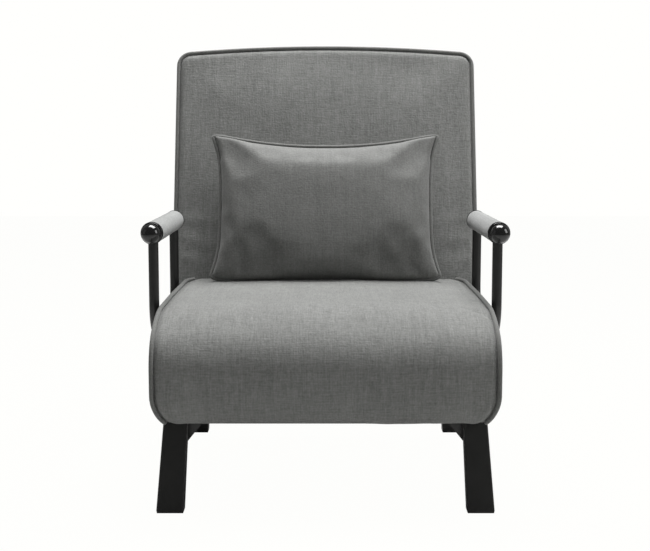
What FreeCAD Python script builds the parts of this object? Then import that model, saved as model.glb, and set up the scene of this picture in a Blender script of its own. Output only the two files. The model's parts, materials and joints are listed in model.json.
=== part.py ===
import FreeCAD, Part
import math
import os
from types import SimpleNamespace

import Sketcher
from FreeCAD import Placement, Rotation, Vector

# Convertible chair bed: a steel base with tube arms, a seat of two layers whose upper
# layer flips forward over the front hinge, a front leg frame that pulls out to carry it,
# and a reclining backrest with its own folding leg.
#
# Millimetres, +Z up, the sitter faces -Y. The origin is on the floor, under the middle
# of the chair. Depths are written from the front hinge line rearwards, and every piece
# is then placed "front_line" ahead of the origin.

DRIVING_SIZES = (
    ("front_line", 364.4, "origin to the front hinge line"),
    ("bed_height", 241.0, "height of the front hinge and of the lying surface"),
    ("layer_gap", 0.6, "gap between the two seat layers, and between bed sections"),
    ("seat_half", 292.0, "half width of the lower seat pad"),
    ("seat_height", 336.0, "rear top edge of the seat"),
    ("seat_bottom", 145.0, "underside of the seat pads"),
    ("seat_crown", 5.0, "rise of the seat top at its middle"),
    ("front_gap", 0.5, "pad front behind the hinge line"),
    ("roll_start", 3.0, "straight front above the hinge line"),
    ("roll_radius", 66.0, "front roll, first arc"),
    ("roll_turn", 62.0, "turn of the first arc in degrees"),
    ("roll_top_radius", 241.0, "front roll, second arc"),
    ("under_radius", 58.0, "roll under the front of the lower layer"),
    ("lower_depth", 474.0, "rear top edge of the lower layer"),
    ("lower_taper", 10.0, "lower layer rear edge, drawn in at the bottom"),
    ("pad_edge", 8.0, "width of the drawn-in side of a pad"),
    ("pad_inset", 11.0, "how far a pad's side face is drawn in"),
    ("corner_lift", 30.0, "rise of the lower pad's bottom side corners"),
    ("leaf", 2.0, "thickness of the hinge leaves"),
    ("leaf_half", 250.0, "half length of the front hinge"),
    ("knuckle", 2.6, "outer radius of the hinge knuckles"),
    ("rod", 1.25, "radius of the hinge rod"),
    ("running", 0.05, "radial running clearance of pins and rods"),
    ("knuckle_pitch", 25.0, "length of one hinge knuckle"),
    ("knuckle_pairs", 10.0, "knuckles on each leaf"),
    ("lower_leaf_height", 14.0, "lower leaf flange under the hinge line"),
    ("upper_leaf_height", 18.5, "upper leaf flange above the hinge line"),
    ("fit", 0.3, "clearance of a frame in its pad"),
    ("rail_top", 144.5, "top of the side rails"),
    ("rail_inner", 241.5, "inner face of the side rails from the middle"),
    ("rail_width", 30.0, "side rail width"),
    ("rail_depth", 28.0, "side rail height"),
    ("rail_wall", 1.5, "wall of the rails"),
    ("rail_front", 130.0, "front end of the side rails"),
    ("rail_back", 574.0, "rear end of the side rails"),
    ("end_cap", 2.0, "thickness of the rail end caps"),
    ("slide_gap", 0.5, "gap of the sliding rail in its side rail"),
    ("slide_back", 572.0, "rear end of the sliding rails"),
    ("leg_depth", 25.0, "leg tube, front to back"),
    ("leg_wall", 2.0, "wall of the leg tubes"),
    ("leg_corner", 3.0, "corner radius of the leg tubes"),
    ("leg_top_inner", 235.8, "front leg top, inner face"),
    ("leg_top_width", 41.5, "front leg top width"),
    ("leg_top_front", 60.0, "front leg top, front face"),
    ("leg_foot_inner", 238.6, "front leg foot, inner face"),
    ("leg_foot_width", 46.5, "front leg foot width"),
    ("leg_foot_front", 11.0, "front leg foot, front face"),
    ("rear_leg_inner", 242.0, "rear leg top, inner face"),
    ("rear_foot_inner", 250.0, "rear leg foot, inner face"),
    ("rear_leg_width", 42.0, "rear leg width"),
    ("rear_leg_front", 538.0, "rear leg top, front face"),
    ("rear_foot_front", 566.0, "rear leg foot, front face"),
    ("glide", 3.0, "thickness of the glides"),
    ("cross_front", 88.0, "front edge of the front cross angle"),
    ("cross_depth", 40.0, "front cross angle, front to back"),
    ("cross_top", 140.0, "top of the front cross angle"),
    ("cross_wall", 4.0, "wall of the front cross angle"),
    ("cross_drop", 13.0, "height of the front cross angle"),
    ("gusset_reach", 32.4, "leg gusset, width"),
    ("gusset_drop", 40.4, "leg gusset, height"),
    ("rear_cross_front", 545.0, "rear cross rail, front face"),
    ("cross_rail", 20.0, "middle cross rails, square"),
    ("mid_cross_front", 140.0, "first middle cross rail, front face"),
    ("mid_cross_step", 210.0, "spacing of the middle cross rails"),
    ("frame_half", 280.0, "half width of the seat frames"),
    ("frame_bar", 25.0, "seat frame bar, width"),
    ("frame_height", 20.0, "seat frame bar, height"),
    ("lower_frame_front", 62.0, "lower frame, front face"),
    ("lower_frame_back", 460.0, "lower frame, rear face"),
    ("upper_frame_front", 14.0, "upper frame, front face"),
    ("upper_frame_back", 466.0, "upper frame, rear face"),
    ("sleep_pad", 16.0, "thickness of the sleeping side pad"),
    ("strap", 1.5, "thickness of the webbing straps"),
    ("strap_width", 42.0, "width of the webbing straps"),
    ("board", 12.0, "thickness of the lower front board"),
    ("arm_spread", 306.5, "arm axis from the middle"),
    ("arm_height", 460.0, "height of the arm axis"),
    ("arm_tube", 9.0, "outer radius of the arm tubes"),
    ("arm_rail", 10.0, "outer radius of the arm rails"),
    ("arm_wall", 1.5, "wall of the arm tubes"),
    ("front_post", 182.6, "front post of the arm"),
    ("rear_post", 479.0, "rear post of the arm"),
    ("post_bend", 62.0, "bend radius at the foot of the posts"),
    ("arm_low", 268.0, "height of the arm's lower run"),
    ("grip", 19.7, "outer radius of the arm grip"),
    ("collar_rim", 0.3, "end rings proud of the grip"),
    ("grip_cover", 1.5, "thickness of the grip sleeve"),
    ("grip_front", 169.0, "front end of the grip"),
    ("grip_back", 489.0, "rear end of the grip"),
    ("collar", 3.0, "thickness of the end rings"),
    ("ball", 17.2, "radius of the ball cap"),
    ("ball_centre", 153.4, "centre of the ball cap"),
    ("bracket", 3.0, "thickness of the arm brackets"),
    ("bracket_front", 262.0, "front edge of the arm brackets"),
    ("bracket_back", 398.0, "rear edge of the arm brackets"),
    ("bracket_foot", 120.0, "underside of the arm brackets"),
    ("bolt", 4.0, "radius of the arm bolts"),
    ("bolt_inset", 24.0, "arm bolts from the bracket's ends"),
    ("recline_back", 505.0, "recline axis behind the hinge line"),
    ("recline_height", 213.0, "height of the recline axis"),
    ("lean", 16.5, "lean of the upright backrest in degrees"),
    ("back_front", 30.0, "backrest face ahead of the recline axis"),
    ("back_rear", 55.0, "backrest rear behind the recline axis"),
    ("back_half", 314.0, "half width of the backrest"),
    ("back_low", 20.0, "backrest bottom below the recline axis"),
    ("back_length", 606.5, "backrest top corners above the recline axis"),
    ("back_corner", 26.0, "radius of the backrest's top corners"),
    ("back_arch", 2960.0, "radius of the arched top edge"),
    ("back_crown", 6.0, "crown of the backrest's face"),
    ("crown_low", 132.0, "bottom of the crown above the recline axis"),
    ("notch_half", 255.0, "half width of the backrest between the hinges"),
    ("notch_top", 52.0, "top of the hinge notches"),
    ("back_frame_half", 292.0, "half width of the back frame"),
    ("back_bar", 22.0, "back frame bar"),
    ("back_frame_rear", 31.0, "rear of the back frame behind the axis"),
    ("back_frame_low", 60.0, "back frame, lower edge"),
    ("back_frame_top", 585.0, "back frame, upper edge"),
    ("back_cover", 3.0, "thickness of the rear cover"),
    ("hinge_plate", 4.0, "thickness of the recline plates"),
    ("hinge_gap", 0.8, "gap between the recline plates"),
    ("plate_foot", 8.0, "recline plate's foot from the rail's inner face"),
    ("hinge_boss", 14.0, "radius of the recline plates at the axis"),
    ("hinge_pin", 4.0, "radius of the recline pins"),
    ("pin_head", 7.0, "radius of the pin heads"),
    ("pin_head_height", 3.0, "height of the pin heads"),
    ("plate_top", 150.0, "top of the backrest's recline plates"),
    ("prop_axis", 430.0, "folding leg axis above the recline axis"),
    ("prop_rear", 67.0, "folding leg axis behind the recline axis"),
    ("prop_reach", 134.5, "folding leg, axis to its cross tube"),
    ("prop_half", 195.0, "folding leg, half width"),
    ("prop_end", 7.5, "folding leg, tube past its axis"),
    ("prop_bend", 40.0, "bend radius of the folding leg"),
    ("prop_pin", 4.0, "radius of the folding leg's pins"),
    ("foot_sleeve", 2.0, "thickness of the rubber sleeves"),
    ("pillow_half", 228.0, "half width of the pillow"),
    ("pillow_height", 292.0, "height of the pillow"),
    ("pillow_thick", 52.0, "half thickness of the pillow"),
    ("pillow_ahead", 90.0, "pillow seam ahead of the recline axis"),
    ("pillow_rise", 106.2, "pillow bottom above the recline axis"),
)

doc = FreeCAD.newDocument("ConvertibleChairBed")
sheet = doc.addObject("Spreadsheet::Sheet", "Sizes")
pieces = {}


class Size:
    """A size that holds its value and the formula that ties it to the sheet."""

    def __init__(self, value, formula=None):
        self.value = float(value)
        self.formula = formula if formula else f"{self.value:.6g}"

    def __add__(self, other):
        other = as_size(other)
        return Size(self.value + other.value, f"({self.formula} + {other.formula})")

    def __sub__(self, other):
        other = as_size(other)
        return Size(self.value - other.value, f"({self.formula} - {other.formula})")

    def __mul__(self, other):
        other = as_size(other)
        return Size(self.value * other.value, f"({self.formula} * {other.formula})")

    def __truediv__(self, other):
        other = as_size(other)
        return Size(self.value / other.value, f"({self.formula} / {other.formula})")

    def __rsub__(self, other):
        return as_size(other) - self

    def __neg__(self):
        return Size(-self.value, f"(0 - {self.formula})")

    __radd__ = __add__
    __rmul__ = __mul__


def as_size(item):
    return item if isinstance(item, Size) else Size(item)


def sine(angle):
    return Size(math.sin(math.radians(angle.value)), f"sin({angle.formula})")


def cosine(angle):
    return Size(math.cos(math.radians(angle.value)), f"cos({angle.formula})")


def fill_sheet():
    """Write the driving sizes to the sheet and return them by name."""
    named = {}
    for row, (alias, value, note) in enumerate(DRIVING_SIZES, start=1):
        sheet.set(f"A{row}", note)
        sheet.set(f"B{row}", str(value))
        sheet.setAlias(f"B{row}", alias)
        named[alias] = Size(value, f"Sizes.{alias}")
    doc.recompute()
    return SimpleNamespace(**named)


s = fill_sheet()


# Helpers for binding, sketching and shaping

def bind(thing, path, size):
    thing.setExpression(path, as_size(size).formula)


def origin_part(body, role):
    return next(part for part in body.Origin.OriginFeatures if part.Role == role)


def new_body(label):
    body = doc.addObject("PartDesign::Body", label)
    body.Label = label
    return body


def new_sketch(body, role, offset=0):
    """A sketch on one of the body's origin planes, moved along the plane's normal."""
    sketch = body.newObject("Sketcher::SketchObject", f"{body.Name}_sketch")
    sketch.AttachmentSupport = [(origin_part(body, role), "")]
    sketch.MapMode = "FlatFace"
    bind(sketch, "AttachmentOffset.Base.z", offset)
    return sketch


def hold(sketch, kind, geometry, point, size):
    """Hold one coordinate of a point at a size."""
    number = sketch.addConstraint(Sketcher.Constraint(kind, -1, 1, geometry, point, size.value))
    sketch.setExpression(f"Constraints[{number}]", size.formula)


def draw(sketch, corners, closed=True):
    """Draw lines, and arcs where a corner gives a radius, counter-clockwise."""
    first = sketch.GeometryCount
    corners = [tuple(as_size(item) for item in corner) for corner in corners]
    spans = len(corners) if closed else len(corners) - 1
    for index in range(spans):
        start = corners[index]
        end = corners[(index + 1) % len(corners)]
        a = Vector(start[0].value, start[1].value, 0)
        b = Vector(end[0].value, end[1].value, 0)
        if len(start) == 2:
            sketch.addGeometry(Part.LineSegment(a, b), False)
            continue
        radius = start[2].value
        chord = b - a
        rise = math.sqrt(max(radius ** 2 - (chord.Length / 2) ** 2, 0))
        left = Vector(-chord.y, chord.x, 0).normalize()
        centre = (a + b) / 2 + left * rise
        turn_from = math.atan2(a.y - centre.y, a.x - centre.x)
        turn_to = math.atan2(b.y - centre.y, b.x - centre.x)
        if turn_to < turn_from:
            turn_to += 2 * math.pi
        circle = Part.Circle(centre, Vector(0, 0, 1), radius)
        sketch.addGeometry(Part.ArcOfCircle(circle, turn_from, turn_to), False)
    for index in range(spans if closed else spans - 1):
        following = first + (index + 1) % spans
        sketch.addConstraint(Sketcher.Constraint("Coincident", first + index, 2, following, 1))
    for index in range(len(corners)):
        geometry, point = (first + index, 1) if index < spans else (first + spans - 1, 2)
        hold(sketch, "DistanceX", geometry, point, corners[index][0])
        hold(sketch, "DistanceY", geometry, point, corners[index][1])
        if index < spans and len(corners[index]) == 3:
            radius = corners[index][2]
            number = sketch.addConstraint(Sketcher.Constraint("Radius", first + index, radius.value))
            sketch.setExpression(f"Constraints[{number}]", radius.formula)
    return sketch


def draw_circle(sketch, x, y, radius):
    x, y, radius = as_size(x), as_size(y), as_size(radius)
    circle = Part.Circle(Vector(x.value, y.value, 0), Vector(0, 0, 1), radius.value)
    geometry = sketch.addGeometry(circle, False)
    hold(sketch, "DistanceX", geometry, 3, x)
    hold(sketch, "DistanceY", geometry, 3, y)
    number = sketch.addConstraint(Sketcher.Constraint("Radius", geometry, radius.value))
    sketch.setExpression(f"Constraints[{number}]", radius.formula)
    return sketch


def rectangle(x0, x1, y0, y1):
    return [(x0, y0), (x1, y0), (x1, y1), (x0, y1)]


def rounded(x0, x1, y0, y1, radius):
    """A rectangle with round corners."""
    return [(x0 + radius, y0), (x1 - radius, y0, radius),
            (x1, y0 + radius), (x1, y1 - radius, radius),
            (x1 - radius, y1), (x0 + radius, y1, radius),
            (x0, y1 - radius), (x0, y0 + radius, radius)]


def pad(body, sketch, length, midplane=False):
    feature = body.newObject("PartDesign::Pad", f"{body.Name}_pad")
    feature.Profile = sketch
    feature.Midplane = midplane
    bind(feature, "Length", length)
    return feature


def cut(body, sketch, length, midplane=False, along_normal=True):
    """Cut a sketch out of the body, by default the way the sketch's normal points."""
    feature = body.newObject("PartDesign::Pocket", f"{body.Name}_cut")
    feature.Profile = sketch
    feature.Midplane = midplane
    feature.Reversed = along_normal and not midplane
    bind(feature, "Length", length)
    return feature


def loft(body, sketches, subtract=False):
    kind = "PartDesign::SubtractiveLoft" if subtract else "PartDesign::AdditiveLoft"
    feature = body.newObject(kind, f"{body.Name}_loft")
    feature.Profile = sketches[0]
    feature.Sections = sketches[1:]
    feature.Ruled = True
    return feature


def place(thing, label, leaning=False):
    """Name a finished piece and set it in the chair, upright or leaning with the backrest."""
    thing.Label = label
    if leaning:
        thing.Placement = Placement(Vector(0, 0, 0), Rotation(Vector(1, 0, 0), -s.lean.value))
        bind(thing, "Placement.Base.y", s.recline_back - s.front_line)
        bind(thing, "Placement.Base.z", s.recline_height)
        bind(thing, "Placement.Rotation.Angle", -s.lean)
    else:
        bind(thing, "Placement.Base.y", -s.front_line)
    pieces[label] = thing
    return thing


def block(name, x0, x1, y0, y1, z0, z1):
    """A box between two corners."""
    box = doc.addObject("Part::Box", name)
    for axis, side, low, high in (("x", "Length", x0, x1), ("y", "Width", y0, y1), ("z", "Height", z0, z1)):
        bind(box, f"Placement.Base.{axis}", low)
        bind(box, side, as_size(high) - low)
    return box


def round_bar(name, centre, radius, length, axis):
    """A cylinder that starts at a centre and runs along X, Y or Z."""
    bar = doc.addObject("Part::Cylinder", name)
    turn = {"x": Rotation(Vector(0, 1, 0), 90), "y": Rotation(Vector(1, 0, 0), -90), "z": Rotation()}
    bar.Placement = Placement(Vector(0, 0, 0), turn[axis])
    bind(bar, "Radius", radius)
    bind(bar, "Height", length)
    for letter, size in zip("xyz", centre):
        bind(bar, f"Placement.Base.{letter}", size)
    return bar


def fuse(name, parts):
    joined = doc.addObject("Part::MultiFuse", name)
    joined.Shapes = parts
    return joined


def minus(name, base, tool):
    result = doc.addObject("Part::Cut", name)
    result.Base = base
    result.Tool = tool
    return result


def group(name, parts):
    """Like pieces that share one node as separate solids."""
    gathered = doc.addObject("Part::Compound", name)
    gathered.Links = parts
    return gathered


def across(side, near, far):
    """The X span of a piece on the right (+1) or left (-1), written low to high."""
    return (near, far) if side > 0 else (-as_size(far), -as_size(near))


SIDES = (("left", -1), ("right", 1))


def tube_along_y(label, x0, x1, z0, z1, y0, y1, wall):
    body = new_body(label)
    sketch = new_sketch(body, "XZ_Plane", -as_size(y1))
    draw(sketch, rectangle(x0, x1, z0, z1))
    draw(sketch, rectangle(x0 + wall, x1 - wall, z0 + wall, z1 - wall))
    pad(body, sketch, as_size(y1) - y0)
    return body


def tube_along_x(label, y0, y1, z0, z1, half, wall):
    body = new_body(label)
    sketch = new_sketch(body, "YZ_Plane")
    draw(sketch, rectangle(y0, y1, z0, z1))
    draw(sketch, rectangle(y0 + wall, y1 - wall, z0 + wall, z1 - wall))
    pad(body, sketch, half * 2, midplane=True)
    return body


def channel_frame(label, role, offset, half, low, high, bar, height, wall, open_far_side):
    """A closed frame of pressed channel, open on its near or far side."""
    body = new_body(label)
    ring = new_sketch(body, role, offset)
    draw(ring, rectangle(-half, half, low, high))
    draw(ring, rectangle(-half + bar, half - bar, low + bar, high - bar))
    pad(body, ring, height)
    start = offset + wall if open_far_side else offset
    groove = new_sketch(body, role, start)
    draw(groove, rectangle(-half + wall, half - wall, low + wall, high - wall))
    draw(groove, rectangle(-half + bar - wall, half - bar + wall, low + bar - wall, high - bar + wall))
    cut(body, groove, height - wall)
    return body


def straps(label, half, first, step, count, start, role, leaning=False):
    """Webbing straps that run across a frame, one beside the other."""
    body = new_body(label)
    sketch = new_sketch(body, role, start)
    for number in range(count):
        low = first + step * number
        draw(sketch, rectangle(-half, half, low, low + s.strap_width))
    pad(body, sketch, s.strap)
    return place(body, label, leaning)


# Front leg frame, which pulls out from under the seat

def leg(label, side, top, foot, depth):
    """A tapered tube leg between its top and foot: (height, inner face, width, front)."""
    body = new_body(label)
    for inset, subtract in ((as_size(0), False), (s.leg_wall, True)):
        sections = []
        for height, inner, width, front in (foot, top):
            x0, x1 = across(side, inner + inset, inner + width - inset)
            sketch = new_sketch(body, "XY_Plane", height)
            radius = s.leg_corner - inset
            draw(sketch, rounded(x0, x1, front + inset, front + depth - inset, radius))
            sections.append(sketch)
        loft(body, sections, subtract)
    return place(body, label)


def glides(label, inner, width, front):
    feet = []
    for name, side in SIDES:
        x0, x1 = across(side, inner + 1, inner + width - 1)
        feet.append(block(f"{label}_{name}", x0, x1, front + 1, front + s.leg_depth - 1, 0, s.glide))
    return place(group(label, feet), label)


def front_leg_frame():
    slide_inner = s.rail_inner + s.rail_wall + s.slide_gap
    slide_outer = s.rail_inner + s.rail_width - s.rail_wall - s.slide_gap
    slide_low = s.rail_top - s.rail_depth + s.rail_wall + s.slide_gap
    slide_high = s.rail_top - s.rail_wall - s.slide_gap
    leg_back = s.leg_top_front + s.leg_depth
    for name, side in SIDES:
        leg(f"front_leg_{name}", side,
            (s.rail_top, s.leg_top_inner, s.leg_top_width, s.leg_top_front),
            (s.glide, s.leg_foot_inner, s.leg_foot_width, s.leg_foot_front), s.leg_depth)
        x0, x1 = across(side, slide_inner, slide_outer)
        rail = tube_along_y(f"sliding_rail_{name}", x0, x1, slide_low, slide_high,
                            leg_back, s.slide_back, s.rail_wall)
        place(rail, f"sliding_rail_{name}")
    glides("front_glides", s.leg_foot_inner, s.leg_foot_width, s.leg_foot_front)

    angle = new_body("front_cross_angle")
    low = s.cross_top - s.cross_drop
    back = s.cross_front + s.cross_depth
    sketch = new_sketch(angle, "YZ_Plane")
    draw(sketch, [(s.cross_front, s.cross_top - s.cross_wall), (back - s.cross_wall, s.cross_top - s.cross_wall),
                  (back - s.cross_wall, low), (back, low), (back, s.cross_top), (s.cross_front, s.cross_top)])
    pad(angle, sketch, slide_inner * 2, midplane=True)
    place(angle, "front_cross_angle")

    gussets = []
    for name, side in SIDES:
        body = new_body(f"gusset_{name}")
        outer = slide_inner - s.fit
        sketch = new_sketch(body, "XZ_Plane", -s.cross_front)
        corners = [(outer, s.cross_top - s.gusset_drop), (outer, s.cross_top), (outer - s.gusset_reach, s.cross_top)]
        if side < 0:
            corners = [(-x, z) for x, z in reversed(corners)]
        draw(sketch, corners)
        pad(body, sketch, s.cross_front - leg_back)
        gussets.append(body)
    place(group("leg_gussets", gussets), "leg_gussets")


# Fixed base: rails, rear legs, cross rails and the lower seat layer

def fixed_base():
    rail_low = s.rail_top - s.rail_depth
    rail_outer = s.rail_inner + s.rail_width
    for name, side in SIDES:
        x0, x1 = across(side, s.rail_inner, rail_outer)
        rail = tube_along_y(f"side_rail_{name}", x0, x1, rail_low, s.rail_top,
                            s.rail_front, s.rail_back, s.rail_wall)
        place(rail, f"side_rail_{name}")
        leg(f"rear_leg_{name}", side,
            (rail_low, s.rear_leg_inner, s.rear_leg_width, s.rear_leg_front),
            (s.glide, s.rear_foot_inner, s.rear_leg_width, s.rear_foot_front), s.leg_depth)
    glides("rear_glides", s.rear_foot_inner, s.rear_leg_width, s.rear_foot_front)
    rear = tube_along_x("rear_cross_rail", s.rear_cross_front, s.rear_cross_front + s.leg_depth,
                        s.rail_top - s.leg_depth, s.rail_top, s.rail_inner, s.rail_wall)
    place(rear, "rear_cross_rail")
    middle = []
    for number in range(2):
        front = s.mid_cross_front + s.mid_cross_step * number
        middle.append(tube_along_x(f"middle_rail_{number}", front, front + s.cross_rail,
                                   s.rail_top - s.cross_rail, s.rail_top, s.rail_inner, s.rail_wall))
    place(group("middle_cross_rails", middle), "middle_cross_rails")
    caps = []
    for name, side in SIDES:
        x0, x1 = across(side, s.rail_inner, rail_outer)
        caps.append(block(f"end_cap_{name}", x0, x1, s.rail_back, s.rail_back + s.end_cap, rail_low, s.rail_top))
    place(group("rail_end_caps", caps), "rail_end_caps")


def pad_stations(half, edge_sizes):
    """Stations across a pad: (X, values) from the left side to the right."""
    right = [(half - back, values) for back, values in edge_sizes]
    left = [(-x, values) for x, values in right]
    if right[-1][0].value == 0:
        return left[:-1] + list(reversed(right))
    return left + list(reversed(right))


def lower_layer():
    frame_top = s.rail_top + s.frame_height
    frame = channel_frame("lower_frame", "XY_Plane", s.rail_top, s.frame_half, s.lower_frame_front,
                          s.lower_frame_back, s.frame_bar, s.frame_height, s.leaf, False)
    place(frame, "lower_frame")
    straps("lower_webbing", s.frame_half - s.leaf, s.lower_frame_front + s.frame_bar + 4, as_size(62), 6,
           frame_top, "XY_Plane")

    flange_low = s.bed_height - s.lower_leaf_height - s.leaf
    board_front = s.lower_frame_front + s.leaf
    board = block("front_board", -s.leaf_half, s.leaf_half, board_front, board_front + s.board,
                  frame_top, flange_low)
    place(group("lower_front_board", [board]), "lower_front_board")
    sheet_half = s.frame_half - s.frame_bar - s.fit
    cover = block("under_sheet", -sheet_half, sheet_half, s.lower_frame_front + s.frame_bar + s.fit,
                  s.lower_frame_back - s.frame_bar - s.fit, s.rail_top, s.rail_top + s.strap)
    place(group("dust_cover", [cover]), "dust_cover")

    top = s.bed_height - s.layer_gap / 2
    body = new_body("lower_pad_form")
    sections = []
    edges = [(as_size(0), (s.pad_inset, s.corner_lift)), (s.pad_edge, (as_size(2), s.corner_lift / 2.5)),
             (s.pad_edge * 3.5, (as_size(0), s.corner_lift / 10)), (s.pad_edge * 6.5, (as_size(0), as_size(0)))]
    for x, (inset, lift) in pad_stations(s.seat_half, edges):
        sketch = new_sketch(body, "YZ_Plane", x)
        front = s.front_gap + inset
        bottom = s.seat_bottom + lift
        draw(sketch, [(front, top), (front, bottom + s.under_radius, s.under_radius),
                      (front + s.under_radius, bottom), (s.lower_depth - s.lower_taper - inset / 2, bottom),
                      (s.lower_depth - inset / 2, top)])
        sections.append(sketch)
    loft(body, sections)
    room = s.fit
    tools = [
        block("lower_frame_room", -s.frame_half - room, s.frame_half + room, s.lower_frame_front - room,
              s.lower_frame_back + room, s.rail_top - 2, frame_top + s.strap + room),
        block("board_room", -s.leaf_half - room, s.leaf_half + room, board_front - room,
              board_front + s.board + room, frame_top, flange_low + room),
        block("lower_flange_room", -s.leaf_half - room, s.leaf_half + room, s.front_gap - 1,
              board_front + s.board + room, flange_low - room, flange_low + s.leaf + room),
        block("lower_leaf_room", -s.leaf_half - room, s.leaf_half + room, s.front_gap - 1,
              s.front_gap + s.leaf + room, flange_low, top + 1),
    ]
    place(minus("lower_pad", body, fuse("lower_rooms", tools)), "lower_pad")


# Front hinge between the two seat layers

def hinge_leaf(label, plate, first_knuckle):
    """A leaf: its folded plate, knuckles on every other pitch, and their bore."""
    body = new_body(label)
    sketch = new_sketch(body, "YZ_Plane")
    draw(sketch, plate)
    pad(body, sketch, s.leaf_half * 2, midplane=True)
    start = -s.leaf_half + s.knuckle_pitch * first_knuckle
    reach = s.leaf + 1
    outward = 1 if first_knuckle else -1
    tab = new_sketch(body, "YZ_Plane", start)
    low, high = (s.bed_height, s.bed_height + reach) if outward > 0 else (s.bed_height - reach, s.bed_height)
    draw(tab, rectangle(s.front_gap, s.front_gap + s.leaf, low, high))
    length = s.knuckle_pitch - s.fit
    tab_pad = pad(body, tab, length)
    barrel = new_sketch(body, "YZ_Plane", start)
    draw_circle(barrel, 0, s.bed_height, s.knuckle)
    barrel_pad = pad(body, barrel, length)
    row = body.newObject("PartDesign::LinearPattern", f"{label}_row")
    row.Originals = [tab_pad, barrel_pad]
    row.Direction = (origin_part(body, "X_Axis"), [""])
    bind(row, "Length", s.knuckle_pitch * 2 * (s.knuckle_pairs - 1))
    bind(row, "Occurrences", s.knuckle_pairs)
    body.Tip = row
    bore = new_sketch(body, "YZ_Plane")
    draw_circle(bore, 0, s.bed_height, s.rod + s.running)
    cut(body, bore, s.leaf_half * 2 + 10, midplane=True)
    return place(body, label)


def front_hinge():
    near = s.front_gap
    far = s.front_gap + s.leaf
    clear = s.leaf + 1
    low = s.bed_height - s.lower_leaf_height
    board_back = s.lower_frame_front + s.leaf + s.board
    hinge_leaf("lower_hinge_leaf",
               [(near, low - s.leaf), (board_back, low - s.leaf), (board_back, low), (far, low),
                (far, s.bed_height - clear), (near, s.bed_height - clear)], 0)
    high = s.bed_height + s.upper_leaf_height
    flange_back = s.upper_frame_front + s.frame_bar - 7
    hinge_leaf("seat_hinge_leaf",
               [(near, s.bed_height + clear), (far, s.bed_height + clear), (far, high - s.leaf),
                (flange_back, high - s.leaf), (flange_back, high), (near, high)], 1)
    rod = round_bar("hinge_rod", (-s.leaf_half, 0, s.bed_height), s.rod, s.leaf_half * 2, "x")
    place(rod, "hinge_rod")


# Upper seat layer, which flips forward

def upper_layer():
    low = s.bed_height + s.layer_gap / 2
    frame_low = s.bed_height + s.upper_leaf_height
    frame_top = frame_low + s.frame_height
    frame = channel_frame("seat_frame", "XY_Plane", frame_low, s.frame_half - 1, s.upper_frame_front,
                          s.upper_frame_back, s.frame_bar, s.frame_height, s.leaf, True)
    place(frame, "seat_frame")
    straps("seat_webbing", s.frame_half - 3, s.upper_frame_front + 16, as_size(62), 7, frame_top, "XY_Plane")

    pad_low = new_body("sleep_pad")
    sketch = new_sketch(pad_low, "XY_Plane", low)
    draw(sketch, rounded(-s.frame_half + 1, s.frame_half - 1, s.front_gap + s.leaf + 2, s.upper_frame_back,
                         s.leg_corner * 2))
    pad(pad_low, sketch, s.sleep_pad)
    place(pad_low, "sleep_pad")

    body = new_body("seat_pad_form")
    tangent = sine(s.lean) / cosine(s.lean)
    face_gap = s.layer_gap * 5
    upper_half = s.arm_spread - s.grip - s.collar_rim - s.fit
    sections = []
    edges = [(as_size(0), (s.pad_inset, as_size(0))), (s.pad_edge, (as_size(2), as_size(0))),
             (s.pad_edge * 5, (as_size(0), s.seat_crown / 5)), (upper_half, (as_size(0), s.seat_crown))]
    for x, (inset, crown) in pad_stations(upper_half, edges):
        sketch = new_sketch(body, "YZ_Plane", x)
        front = s.front_gap + inset
        first_z = s.bed_height + s.roll_start
        turn_y = front + s.roll_radius - s.roll_radius * cosine(s.roll_turn)
        turn_z = first_z + s.roll_radius * sine(s.roll_turn) - inset
        top_y = turn_y + s.roll_top_radius * cosine(s.roll_turn)
        top_z = turn_z + s.roll_top_radius - s.roll_top_radius * sine(s.roll_turn)
        rear_z = s.seat_height + crown - inset
        rear_y = back_face_at(rear_z, tangent) - face_gap - inset / 2
        low_y = back_face_at(low, tangent) - face_gap - inset / 2
        draw(sketch, [(low_y, low), (rear_y, rear_z), (top_y, top_z + crown, s.roll_top_radius),
                      (turn_y, turn_z + crown / 2, s.roll_radius), (front, first_z), (front, low)])
        sections.append(sketch)
    loft(body, sections)
    room = s.fit
    half = s.frame_half - 1 + room
    tools = [
        block("sleep_room", -half, half, s.front_gap - 5, s.upper_frame_back + room, low - 1, frame_low),
        block("seat_frame_room", -half, half, s.upper_frame_front - room, s.upper_frame_back + room,
              frame_low - 1, frame_top + s.strap + room),
    ]
    place(minus("seat_pad", body, fuse("seat_rooms", tools)), "seat_pad")


def back_face_at(height, tangent):
    """Depth of the upright backrest's face at a height."""
    return s.recline_back + (height - s.recline_height) * tangent - s.back_front / cosine(s.lean)


# Backrest, drawn on the recline axis with its length along Z and its face towards -Y

def back_outline(inset):
    top = s.back_length - inset
    half = s.back_half - inset
    corner = s.back_corner - inset
    return [(-s.notch_half + inset, -s.back_low + inset), (s.notch_half - inset, -s.back_low + inset),
            (s.notch_half - inset, s.notch_top), (half, s.notch_top), (half, top - corner, corner),
            (half - corner, top, s.back_arch), (-half + corner, top, corner), (-half, top - corner),
            (-half, s.notch_top), (-s.notch_half + inset, s.notch_top)]


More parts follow.
